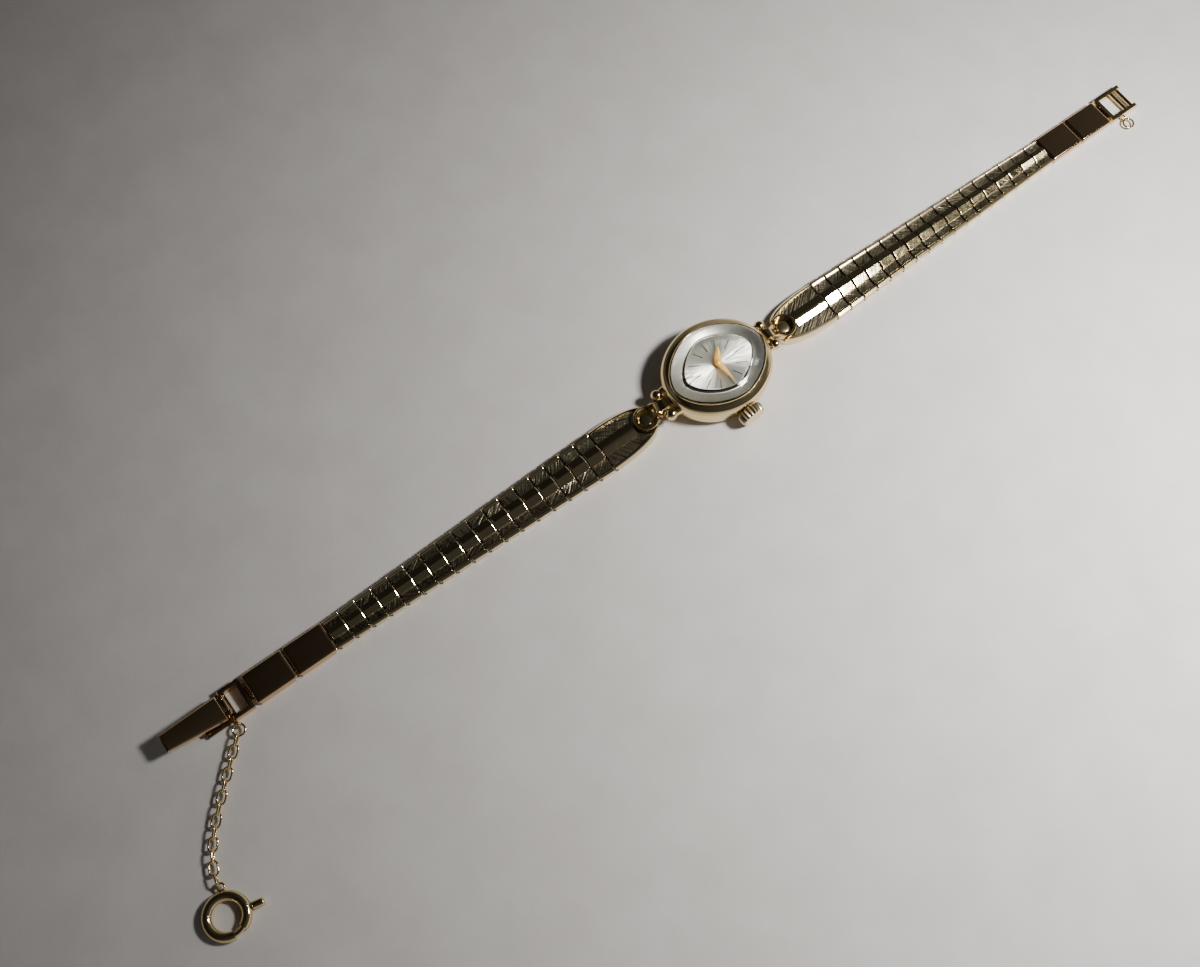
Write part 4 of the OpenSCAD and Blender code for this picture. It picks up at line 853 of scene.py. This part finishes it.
# %% Rows and barrels
def link_rows(length):
    """Rows of one link at y from 0 to its length, with hinge room under both ends. The end
    nearer the head is worn round, and that is what glints at every joint."""
    a, b, c = GAP / 2, HINGE_ROOM, 0.05
    y = np.array([a, a + c, 0.16, 0.22, 0.29, b, b, b + 0.1, length / 2,
                  length - b - 0.1, length - b, length - b, length - a - c, length - a])
    row = np.arange(len(y))
    low = np.where((row < 6) | (row > 10), SHELL_Z, 0.0)
    drop = np.array([0.135, 0.085, 0.05, 0.022, 0.004, 0, 0, 0, 0, 0, 0, 0, 0, 0.05])
    return y, low, drop


def barrels(y, near):
    """The next link's side barrels and pin at its near end, or this link's middle barrel."""
    if near:
        x = TONGUE + 0.06 + CHEEK / 2
        parts = [(p + [s * x, 0, 0], f, 0) for s in (-1, 1)
                 for p, f in [rod_x(BARREL_R, CHEEK, y, PIN_Z)]]
        webs = [(s * x, CHEEK, y, y + HINGE_ROOM + 0.1) for s in (-1, 1)]
    else:
        parts = [(*rod_x(BARREL_R, 2 * TONGUE, y, PIN_Z), 0)]
        webs = [(0, 2 * TONGUE, y - HINGE_ROOM - 0.1, y)]
    for x, width, y0, y1 in webs:
        edge = np.array([[-width / 2, y0], [width / 2, y0], [width / 2, y1], [-width / 2, y1]])
        rings = [np.column_stack([edge + [x, 0], np.full(4, PIN_Z + s * (BARREL_R - 0.01))])
                 for s in (-1, 1)]
        parts.append((*skin(rings), 0))
    return parts


def mirrored(parts, side):
    """Parts made for the 12 o'clock half, with Y times `side`, as the 6 half mirrors it."""
    flip = np.array([1, side, 1])
    return [(p * flip, f, k) for p, f, k in parts]


print("a link has", len(link_rows(PITCH)[0]), "rows")

# %% Links
def link(k, side):
    """Link k of a half, with its own slight tilt. In the 12 o'clock half most ridges are satin
    on the side towards the crown, and painted darker there as shade."""
    y, low, drop = link_rows(PITCH)
    w = np.interp(y, [0, PITCH], [half_w(k), half_w(k + 1)])
    start = FIRST_Y + PITCH * k
    roll, pitch = rng.normal(0, 0.012, 2)

    def top(x, yy, ww):
        """Height of the section over the table: band, ridge, worn end and tilt."""
        lean = x * roll + (yy - PITCH / 2) * pitch
        return LINK_T + BAND_Z + RIDGE_H * ww / W_HEAD * RIDGE - drop[:, None] + lean

    rings = slab(y, w - drop * 0.4, low, top, BAND)
    rings[:, :, 1] += start
    # Most 12 o'clock ridges take the darker satin copy: painted shade.
    marks = SHADED_SATIN_MARK if side == 1 and k not in BRIGHT else RING_MARK
    body = (*skin(rings), face_marks(len(y), rings.shape[1], marks))
    return [body, *barrels(start, True), *barrels(start + PITCH, False)]


for side, tag in HALVES:
    for number, first in enumerate(range(0, LINKS, GROUP_SIZE), 1):
        parts = [part for k in range(first, min(first + GROUP_SIZE, LINKS))
                 for part in link(k, side)]
        # The 6 o'clock half's bevels take the darker copy of the bevel gold: painted shade.
        make(f"band_{tag}_{number}", mirrored(parts, side), f"links_{tag}_{number}",
             [EDGE if side == 1 else SHADED_EDGE, PANEL, FLANK, SHADED_SATIN],
             [f"links_{tag}_{number}"], sharp=12)
print(len(HALVES) * LINKS, "links made")

# %% [markdown]
# ## End pieces
# An end piece is a blunt arch that closes round the connector's ring: a polished rim, two
# hatched panels a little lower, and the start of the ridge. Rings drawn in from the arch's
# outline give the rim an even width, which rows across the piece couldn't. The pocket for
# the ring is a round and a square cut, so it is cut with a Boolean and kept as a mesh.

# %% Outlines
RING_R, POST_Y, RING_Z, POST_R = 1.8, 12.4, 0.95, 0.6
END_TIP_Y, END_RISE = 10.95, 0.6


def arch(inset, z, rise, steps=56):
    """Outline of the arch, drawn in by `inset`, from the near right corner round the tip's
    rows t = 0 to 1. The half width is that at the head times
    (1 - (1 - t) ** 2.5) ** (1 / 3.2), and the height falls from z + rise to z."""
    t = np.linspace(0, 1, steps + 1) ** 2
    w = (W_HEAD - inset) * (1 - (1 - t) ** 2.5) ** (1 / 3.2)
    y = END_TIP_Y + inset + (FIRST_Y - END_TIP_Y - inset - GAP / 2) * t
    right = np.stack([w, y, z + rise * (1 - t)], 1)
    left = right[:0:-1] * np.array([-1, 1, 1])
    return np.vstack([right, left])


print("an arch has", len(arch(0, 0, 0)), "points")

# %% Cutting away
def block(x0, x1, y0, y1, z0, z1, c=0.03):
    """Box with its upright edges and its top and bottom edges chamfered by c."""
    def ring(inset, z):
        """Eight-cornered outline, drawn in by `inset`."""
        a, b, d, e = x0 + inset, x1 - inset, y0 + inset, y1 - inset
        return [(a + c, d, z), (b - c, d, z), (b, d + c, z), (b, e - c, z), (b - c, e, z),
                (a + c, e, z), (a, e - c, z), (a, d + c, z)]
    points, faces = skin([ring(c, z0), ring(0, z0 + c), ring(0, z1 - c), ring(c, z1)])
    return points, faces, 0


def solid(name, parts):
    """Loose object from joined parts, for a Boolean, which keeps the number of a face's
    material only where there is a slot for it: so it gets three empty slots."""
    mesh = shell(name, parts, 1)
    for _ in range(3):
        mesh.materials.append(None)
    return put(name, mesh)


def cut_away(parts, cutters):
    """What is left of the parts after the cutters are taken off, as points and faces."""
    base = solid("base", parts)
    tools = [solid("cutter", [c]) for c in cutters]
    for tool in tools:
        m = base.modifiers.new("cut", "BOOLEAN")
        m.operation, m.solver, m.object = "DIFFERENCE", "EXACT", tool
    seen = base.evaluated_get(bpy.context.evaluated_depsgraph_get()).to_mesh()
    points = np.empty(len(seen.vertices) * 3)
    seen.vertices.foreach_get("co", points)
    faces = [list(f.vertices) for f in seen.polygons]
    marks = [f.material_index for f in seen.polygons]
    for piece in [base, *tools]:
        bpy.data.objects.remove(piece)
    return points.reshape(-1, 3), faces, marks


print("a block to cut with has", len(block(0, 1, 0, 1, 0, 1)[0]), "points")

# %% End pieces
def end_piece():
    """Rim, panels and ridge, with the ring's pocket cut out and its headed post put in."""
    edge = [(0.10, 0), (0, 0.12), (0, LINK_T - 0.34), (0.05, LINK_T - 0.22),
            (0.22, LINK_T - 0.02), (0.34, LINK_T + 0.05), (0.50, LINK_T + 0.05),
            (0.53, LINK_T - 0.03)]
    rings = [arch(inset, z, 0 if z < 0.2 or inset > 0.5 else END_RISE) for inset, z in edge]
    field = [rings[-1] * np.array([s, 1, 1]) for s in (0.75, 0.5, 0.25, 0.01)]
    points, faces = skin(rings + field)
    count = len(rings[0])
    marks = np.repeat([0] * 7 + [1] * 4, count).tolist() + [0] * count + [1] * count

    w = 0.34 * W_HEAD
    y = np.linspace(POST_Y + RING_R + 0.32, FIRST_Y - GAP / 2, 9)[:, None]
    x, z = np.array([(-w, -0.3), (-w, -0.02), (-w * 0.5, RIDGE_H * 0.5), (-0.03, RIDGE_H),
                     (0.03, RIDGE_H), (w * 0.5, RIDGE_H * 0.5), (w, -0.02), (w, -0.3)]).T
    ridge = np.stack([x + 0 * y, y + 0 * x, LINK_T + z + 0 * y], 2)

    pocket = lathe([(RING_R + 0.22, RING_Z - 0.05), (RING_R + 0.22, 4.0)], 72)
    post = lathe([(POST_R, RING_Z - 0.1), (POST_R, 1.40), (0.97, 1.41), (1.0, 1.46),
                  (0.97, 1.56), (0.86, 1.66), (0.66, 1.72), (0.35, 1.745), (0.05, 1.75)], 40)
    for rounded in (pocket, post):
        rounded[:, :, 1] += POST_Y
    channel = block(-RIBBON_W / 2 - 0.25, RIBBON_W / 2 + 0.25, END_TIP_Y - 1, POST_Y,
                    RING_Z - 0.05, 4)
    under = block(-W_HEAD - 1, W_HEAD + 1, FIRST_Y - HINGE_ROOM, FIRST_Y + 1, -1, SHELL_Z,
                  c=0.01)
    body = cut_away([(points, faces, marks)], [(*skin(pocket), 0), channel, under])
    return [body, (*skin(ridge), 2), (*skin(post), 0), *barrels(FIRST_Y, False)]


for side, tag in HALVES:
    # The 6 o'clock end piece's bevels take the darker copy of the bevel gold: painted shade.
    make(f"arch_{tag}", mirrored(end_piece(), side), f"end_piece_{tag}",
         [EDGE if side == 1 else SHADED_EDGE, PANEL, FLANK], [f"end_piece_{tag}"], sharp=25)
print("end pieces made")

# %% [markdown]
# ## Connectors
# The photo's connectors are one strip of gold: it loops round the lug bar, leaves over and
# under it, and each strand turns a quarter on its way to a standing ring round the post. A
# curve object with a profile would twist where it likes. So the strip is a rectangle carried
# along a path, and its wide side is told how to turn, from along the bar to upright.

# %% Connectors
RIBBON_T, RING_H = 0.35, 1.35


def connector():
    """Closed path: loop about the bar, upper strand, ring about the post, lower strand. At
    each point the section is the point plus u times the width direction and v times the
    thickness direction, for a rounded rectangle of u and v."""
    r1, r2 = LUG_BAR_R + 0.05 + RIBBON_T / 2, RING_R - RIBBON_T / 2
    on_loop, on_ring, on_strand = 34, 60, 26     # points along each stretch
    reach = 2.6
    a = np.radians(np.linspace(-80, -280, on_loop))
    loop = np.stack([0 * a, LUG_Y + r1 * np.cos(a), LUG_Z + r1 * np.sin(a)], 1)
    b = np.radians(np.linspace(-25, 205, on_ring))
    ring = np.stack([r2 * np.cos(b), POST_Y + r2 * np.sin(b), 0 * b + RING_Z + RING_H / 2], 1)

    def strand(p, dp, q, dq):
        """Cubic curve from p to q, that leaves and arrives in the directions dp and dq."""
        s = np.linspace(0, 1, on_strand + 2)[1:-1, None]
        return ((2 * s ** 3 - 3 * s ** 2 + 1) * p + (s ** 3 - 2 * s ** 2 + s) * dp
                + (-2 * s ** 3 + 3 * s ** 2) * q + (s ** 3 - s ** 2) * dq)

    def along(angle):
        """Direction of the ring's path at an angle."""
        return np.array([-math.sin(angle), math.cos(angle), 0])

    up = strand(loop[-1], np.array([0, reach, 0.0]), ring[0], along(b[0]) * reach)
    down = strand(ring[-1], along(b[-1]) * reach, loop[0], np.array([0, -reach, 0.0]))
    path = np.vstack([loop, up, ring, down])
    turn_up = np.sin(np.linspace(0, np.pi / 2, on_strand + 2)[1:-1]) ** 2
    share = np.concatenate([np.zeros(on_loop), turn_up, np.ones(on_ring), turn_up[::-1]])
    d = np.roll(path, -1, 0) - np.roll(path, 1, 0)
    d /= np.linalg.norm(d, axis=1)[:, None]
    angle = share * np.pi / 2
    wide = np.stack([np.cos(angle), 0 * angle, np.sin(angle)], 1)
    wide -= (wide * d).sum(1)[:, None] * d
    wide /= np.linalg.norm(wide, axis=1)[:, None]
    thick = np.cross(d, wide)
    half = (RIBBON_W + (RING_H - RIBBON_W) * share) / 2 - 0.01
    k, h = 0.07, RIBBON_T / 2
    u = np.stack([half - k, half, half, half - k, k - half, -half, -half, k - half], 1)
    v = np.array([-h, k - h, h - k, h, h, h - k, k - h, -h])
    rings = path[:, None] + u[:, :, None] * wide[:, None] + v[None, :, None] * thick[:, None]
    ring_floor = lathe([(0.66, RING_Z), (1.5, RING_Z), (1.5, RING_Z + 0.33),
                        (0.70, RING_Z + 0.35)], 48)
    ring_floor[:, :, 1] += POST_Y
    return [(*skin(rings, loop=True), 0), (*skin(ring_floor, loop=True), 0)]


for side, tag in HALVES:     # the 6 half's connector is turned half a turn, not mirrored
    turned_half = [(p * [side, side, 1], f, k) for p, f, k in connector()]
    make(f"strip_{tag}", turned_half, f"connector_{tag}", [GOLD],
         [f"connector_{tag}"], sharp=35)
print("connectors made")

# %% [markdown]
# ## Plain links
# Two plain links end each half. Each is a mirror-bright slab, whose top edges wear has rounded
# over, more at the ends than at the sides. A bevel would round both alike, so the rounding is
# in the height's formula. The flat top shows one dark reflection, and the round edge a thin
# line of light beside it.

# %% Plain links
PLAIN_L, PLAIN_W = 6.15, 2.25
PLAIN_Y = FIRST_Y + PITCH * LINKS


def plain_link(i):
    """The same rows as a patterned link. The top falls by 0.35 mm times one less the cosine
    of an angle, which grows to 90 degrees over the last 0.33 mm to a side or 0.5 mm to an end."""
    a = GAP / 2
    length, flat, slope = PLAIN_L, 0.845, 0.5
    t = np.sin(np.radians(np.arange(0, 91, 15)))
    start_y = np.sort(np.concatenate([a + slope * (1 - t),
                                      [a + HINGE_ROOM - 0.01, a + HINGE_ROOM]]))
    y = np.concatenate([start_y, [length / 2], length - start_y[::-1]])
    low = np.where(np.minimum(y, length - y) < a + HINGE_ROOM - 0.005, SHELL_Z, 0)
    end = np.clip((slope + a - np.minimum(y, length - y)) / slope, 0, 1)
    half = flat + (1 - flat) * t
    across = np.concatenate([-half[::-1], [-0.4, 0, 0.4], half])

    def top(x, yy, ww):
        """Height over the table. A corner falls by the cube root of both edges' cubes."""
        side = np.clip((np.abs(x) / ww - flat) / (1 - flat), 0, 1)
        down = np.minimum(1, (side ** 3 + end[:, None] ** 3) ** (1 / 3))
        return LINK_T + 0.05 - 0.35 * (1 - np.sqrt(1 - down ** 2))

    rings = slab(y, np.full(len(y), PLAIN_W), low, top, across)
    start = PLAIN_Y + PLAIN_L * (i - 1)
    rings[:, :, 1] += start
    return [(*skin(rings), 0), *barrels(start, True), *barrels(start + PLAIN_L, False)]


for side, tag in HALVES:
    for i in (1, 2):
        make(f"plain_{tag}_{i}", mirrored(plain_link(i), side), f"plain_link_{tag}_{i}",
             [PLAIN], [f"plain_link_{tag}_{i}"], sharp=35)
print("plain links made, from", PLAIN_Y, "mm")

# %% [markdown]
# ## Clasp and ladder
# These are plain machined shapes that the CAD already has in full. Real edges are never
# knife-sharp, so a copy of each CAD mesh gets its doubled points merged and a small bevel,
# which catches a line of light.

# %% Softened CAD pieces
def softened(node_name, body, material, width):
    """Copy of a CAD node with a bevel of `width` mm on its edges over 30 degrees."""
    mesh = nodes[node_name].data.copy()
    bm = bmesh.new()
    bm.from_mesh(mesh)
    bmesh.ops.remove_doubles(bm, verts=bm.verts, dist=0.002 * MM)
    bmesh.ops.dissolve_limit(bm, angle_limit=math.radians(1), verts=bm.verts, edges=bm.edges)
    bm.to_mesh(mesh)
    bm.free()
    mesh.materials.clear()
    mesh.materials.append(material)
    piece = put("soft_" + node_name, mesh)
    m = piece.modifiers.new("edges", "BEVEL")
    m.width, m.segments, m.limit_method = width * MM, 2, "ANGLE"
    m.angle_limit = math.radians(30)
    m.harden_normals = True
    mesh.polygons.foreach_set("use_smooth", np.ones(len(mesh.polygons), bool))
    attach(piece, body)
    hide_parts(node_name)


softened("clasp_frame", "clasp_frame", PLAIN, 0.05)
softened("clasp_leaf", "clasp_leaf", PLAIN, 0.05)
softened("ladder_catch", "ladder_catch", GOLD, 0.05)
print("clasp and ladder softened")

# %% [markdown]
# ## Safety chain and spring ring
# The chain's links are ovals of round wire, each a quarter turn from the next. An array along
# a curve could lay them, but three bodies share the chain, and each link has to stay in the
# holes of its neighbours. So each is placed by the CAD's formula: the chain leaves the clasp
# at 46 degrees and straightens out by the ring.

# %% Path of the chain
WIRE_R = 0.15
CHAIN_L, CHAIN_W, CHAIN_LINKS, CHAIN_CUTS, TURN = 2.1, 1.4, 13, (0, 4, 8, 13), 0.03
CHAIN_EYE_Y, CATCH_EYE_Y, RAIL_T = 3.3, 2.4, 1.25
HEADING_START, JUMP_R, CATCH_RING_R = -46, 0.95, 0.95
RAIL_Y = PLAIN_Y + 2 * PLAIN_L
EYE_X = PLAIN_W + 2 * 0.45 - 0.02     # outer side of the eyes on the clasp's rail
CHAIN_START = np.array([EYE_X, -(RAIL_Y + CHAIN_EYE_Y)])


def polar(r, degrees):
    """Point at radius r and an angle in degrees."""
    return r * np.array([math.cos(math.radians(degrees)), math.sin(math.radians(degrees))])


def heading(i):
    """Direction of the chain at link i, in degrees."""
    return HEADING_START * (1 - (i / CHAIN_LINKS) ** 4)


JUMP = CHAIN_START + polar(JUMP_R - 3 * WIRE_R - TURN, HEADING_START)
places = [JUMP + polar(JUMP_R + CHAIN_L / 2 - 4 * WIRE_R - TURN, HEADING_START)]
step = CHAIN_L - 4 * WIRE_R - 2 * TURN
for i in range(1, CHAIN_LINKS):
    places.append(places[-1] + polar(step / 2, heading(i - 1)) + polar(step / 2, heading(i)))
print("last link at", np.round(places[-1], 2))

# %% Chain and catch ring
def tube(path, radius, closed=False, sides=20, up=(0, 0, 1)):
    """Round tube along a path that lies in one plane, whose normal is `up`: each section is
    the point plus radius times (cos of the path's side vector plus sin of up)."""
    p = np.asarray(path, float)
    if closed:
        d = np.roll(p, -1, 0) - np.roll(p, 1, 0)
    else:
        d = np.gradient(p, axis=0)
    d /= np.linalg.norm(d, axis=1)[:, None]
    side = np.cross(d, up)
    t = np.linspace(0, 2 * np.pi, sides, endpoint=False)
    rings = (p[:, None] + radius * (np.cos(t)[None, :, None] * side[:, None]
                                    + np.sin(t)[None, :, None] * np.asarray(up, float)))
    return skin(rings, loop=closed)


def chain_link(i):
    """Stadium of wire: two half circles joined by straights. Even links stand upright."""
    r, s = CHAIN_W / 2 - WIRE_R, (CHAIN_L - CHAIN_W) / 2
    a = np.linspace(-np.pi / 2, np.pi / 2, 15)
    right = np.stack([s + r * np.cos(a), r * np.sin(a), 0 * a], 1)
    path = np.vstack([right, right * [-1, -1, 1]])
    points, faces = tube(path, WIRE_R, closed=True, sides=14)
    if i % 2 == 0:
        points = points[:, [0, 2, 1]] * [1, -1, 1]
    return turned(points, heading(i)) + [*places[i], CHAIN_W / 2], faces, 0


def hoop(x, y, z, outer):
    """Flat ring of round wire. Its path is a circle, a wire radius inside the outer one."""
    a = np.linspace(0, 2 * np.pi, 64, endpoint=False)
    r = outer - WIRE_R
    path = np.stack([r * np.cos(a), r * np.sin(a), 0 * a], 1)
    points, faces = tube(path, WIRE_R, closed=True)
    return points + [x, y, z], faces, 0


for n, (first, last) in enumerate(zip(CHAIN_CUTS, CHAIN_CUTS[1:]), 1):
    parts = [chain_link(i) for i in range(first, last)]
    if n == 1:
        parts.append(hoop(*JUMP, CHAIN_W / 2, JUMP_R))
    make(f"wire_links_{n}", parts, f"chain_{n}", [GOLD], [f"chain_{n}"])
catch_x = EYE_X + CATCH_RING_R - 2 * WIRE_R - TURN
make("catch_hoop", [hoop(catch_x, RAIL_Y + CATCH_EYE_Y, RAIL_T / 2, CATCH_RING_R)],
     "catch_ring", [GOLD], ["catch_ring"])
print("chain and catch ring made")

# %% [markdown]
# ## The spring ring's bolt
# The bolt is a round wire bent to the ring's own radius, and the thumb knob stands outward
# from it on a thin stem through the slot. The CAD's knob is a stem with a flared end, and
# could be softened like the clasp. The photo shows a stubby turned barrel, so both are made
# new.

# %% Bolt and thumb knob
TUBE_R, RING_MAJOR, KNOB_ANGLE = 0.65, 2.45, 76
BOLT_R, BOLT_END, KNOB_STEM_R = 0.36, -15, 0.18
TAIL_EYE_R, TAIL_ANGLE = 0.6, 161
LAST_R = CHAIN_L / 2 + TAIL_EYE_R - 4 * WIRE_R - TURN
TAIL_REACH = RING_MAJOR + TUBE_R + TAIL_EYE_R - 0.12
RING_AT = places[-1] + polar(LAST_R, heading(CHAIN_LINKS)) - polar(TAIL_REACH, TAIL_ANGLE)


def bolt():
    """Arc of round bar at the ring's radius."""
    path = [[*(RING_AT + polar(RING_MAJOR, a)), TUBE_R]
            for a in np.linspace(BOLT_END, KNOB_ANGLE, 40)]
    return *tube(path, BOLT_R), 0


def knob():
    """Turned barrel whose axis points outward from the ring."""
    rings = lathe([(KNOB_STEM_R, 0), (KNOB_STEM_R, 0.74), (0.40, 0.76), (0.50, 0.84),
                   (0.53, 1.0), (0.55, 1.9), (0.53, 2.12), (0.45, 2.24), (0.30, 2.29),
                   (0.05, 2.30)], 36)
    points, faces = skin(rings[:, :, [2, 0, 1]])
    at = [*(RING_AT + polar(RING_MAJOR, KNOB_ANGLE)), TUBE_R]
    return turned(points, KNOB_ANGLE) + at, faces, 0


make("ring_bolt", [bolt(), knob()], "spring_ring_trigger", [GOLD],
     ["spring_ring_trigger"])
print("bolt and knob made, ring at", np.round(RING_AT, 2))

# %% [markdown]
# ## Floor and light
# The photo lies on pale paper, lit from the right by one lamp in a dim room. A dim room is
# what makes polished gold look dark: the flat tops mirror the ceiling, which is kept dark,
# while bevels mirror the paper or the lighter walls near the horizon. The lamp hangs near
# and aims past the watch, so that its pool of light falls off to the left as in the photo.
# A second lamp, much weaker, only adds small glints.

# %% Floor
def floor():
    """Wide sheet of paper with faint mottling and tooth."""
    material, tree, shader, vector = new_material("paper")
    cloud = noise(tree, vector, 0.12, detail=6.0, roughness=0.6)
    tooth = noise(tree, vector, 2.2, detail=5.0)
    colour = ramp(tree, cloud, [(0.35, (0.63, 0.60, 0.585)), (0.7, (0.69, 0.665, 0.65))])
    bump = node(tree, "ShaderNodeBump", Height=tooth, Strength=0.25, Distance=0.06 * MM)
    plug(tree, shader, Base_Color=colour, Roughness=0.9, Normal=bump.outputs["Normal"])
    mesh = bpy.data.meshes.new("floor")
    half = 1.5
    mesh.from_pydata([(-half, -half, 0), (half, -half, 0), (half, half, 0), (-half, half, 0)],
                     [], [(0, 1, 2, 3)])
    mesh.materials.append(material)
    sheet = put("floor", mesh)


floor()
print("floor made")

# %% [markdown]
# ## Lamps
# A lamp in a real room is a small bright patch, so its reflection in polished gold is a small
# bright patch too. A sun or a point would light the paper as well, but give no such glint, so
# both lamps are area lamps.

# %% Lamps
TABLE_MIDDLE = np.array([3.4, -22.8, 0]) * MM


def lamp(name, right, up, height, size, power, colour, aim=0.0, spread=180):
    """Square soft light, placed by how far it stands right and up in the picture, in metres.
    It points `aim` metres to the right of the middle, and its shade narrows it to `spread`
    degrees."""
    flat_x = np.array([*VIEW_RIGHT[:2], 0]) / np.linalg.norm(VIEW_RIGHT[:2])
    flat_y = np.array([-flat_x[1], flat_x[0], 0])
    place = TABLE_MIDDLE + flat_x * right + flat_y * up + np.array([0, 0, height])
    back = place - (TABLE_MIDDLE + flat_x * aim)
    back /= np.linalg.norm(back)
    side = np.cross([0, 0, 1], back)
    side /= np.linalg.norm(side)
    data = bpy.data.lights.new(name, "AREA")
    data.shape, data.size, data.energy, data.color = "SQUARE", size, power, colour
    data.spread = math.radians(spread)
    light = put(name, data)
    light.visible_camera = False
    stand(light, side, np.cross(back, side), back, place)


lamp("key", right=0.128, up=0.009, height=0.155, size=0.038, power=0.32,
     colour=(1.0, 0.98, 0.94), aim=0.10, spread=110)
lamp("glint", right=0.185, up=0.079, height=0.153, size=0.02, power=0.02,
     colour=(1.0, 0.98, 0.94))
print("two lamps made")

# %% [markdown]
# ## Room
# What gold looks like is mostly what it mirrors. A picture of a real room could stand round
# the watch, but two ramps are enough: one by height, and one by the side that a wall is on.

# %% Room
def room():
    """Dim room: dark overhead, with pale walls near the horizon, paler on the lamp's side."""
    world = bpy.data.worlds.new("room")
    world.use_nodes = True
    tree = world.node_tree
    away = node(tree, "ShaderNodeTexCoord").outputs["Generated"]
    lit_side = node(tree, "ShaderNodeVectorMath", {"operation": "DOT_PRODUCT"}, i0=away,
                    i1=(0.66, 0.75, 0.0)).outputs["Value"]
    height = axes(tree, away)["Z"]
    walls = ramp(tree, height, [(0.0, 1.0), (0.25, 0.8), (0.40, 0.12), (1.0, 0.08)])
    side = ramp(tree, maths(tree, "MULTIPLY_ADD", lit_side, 0.5, 0.5), [(0.3, 0.12), (0.9, 0.8)])
    plug(tree, tree.nodes["Background"], Color=mix(tree, 1.0, walls, side, "MULTIPLY"))
    bpy.context.scene.world = world


room()
print("room made")
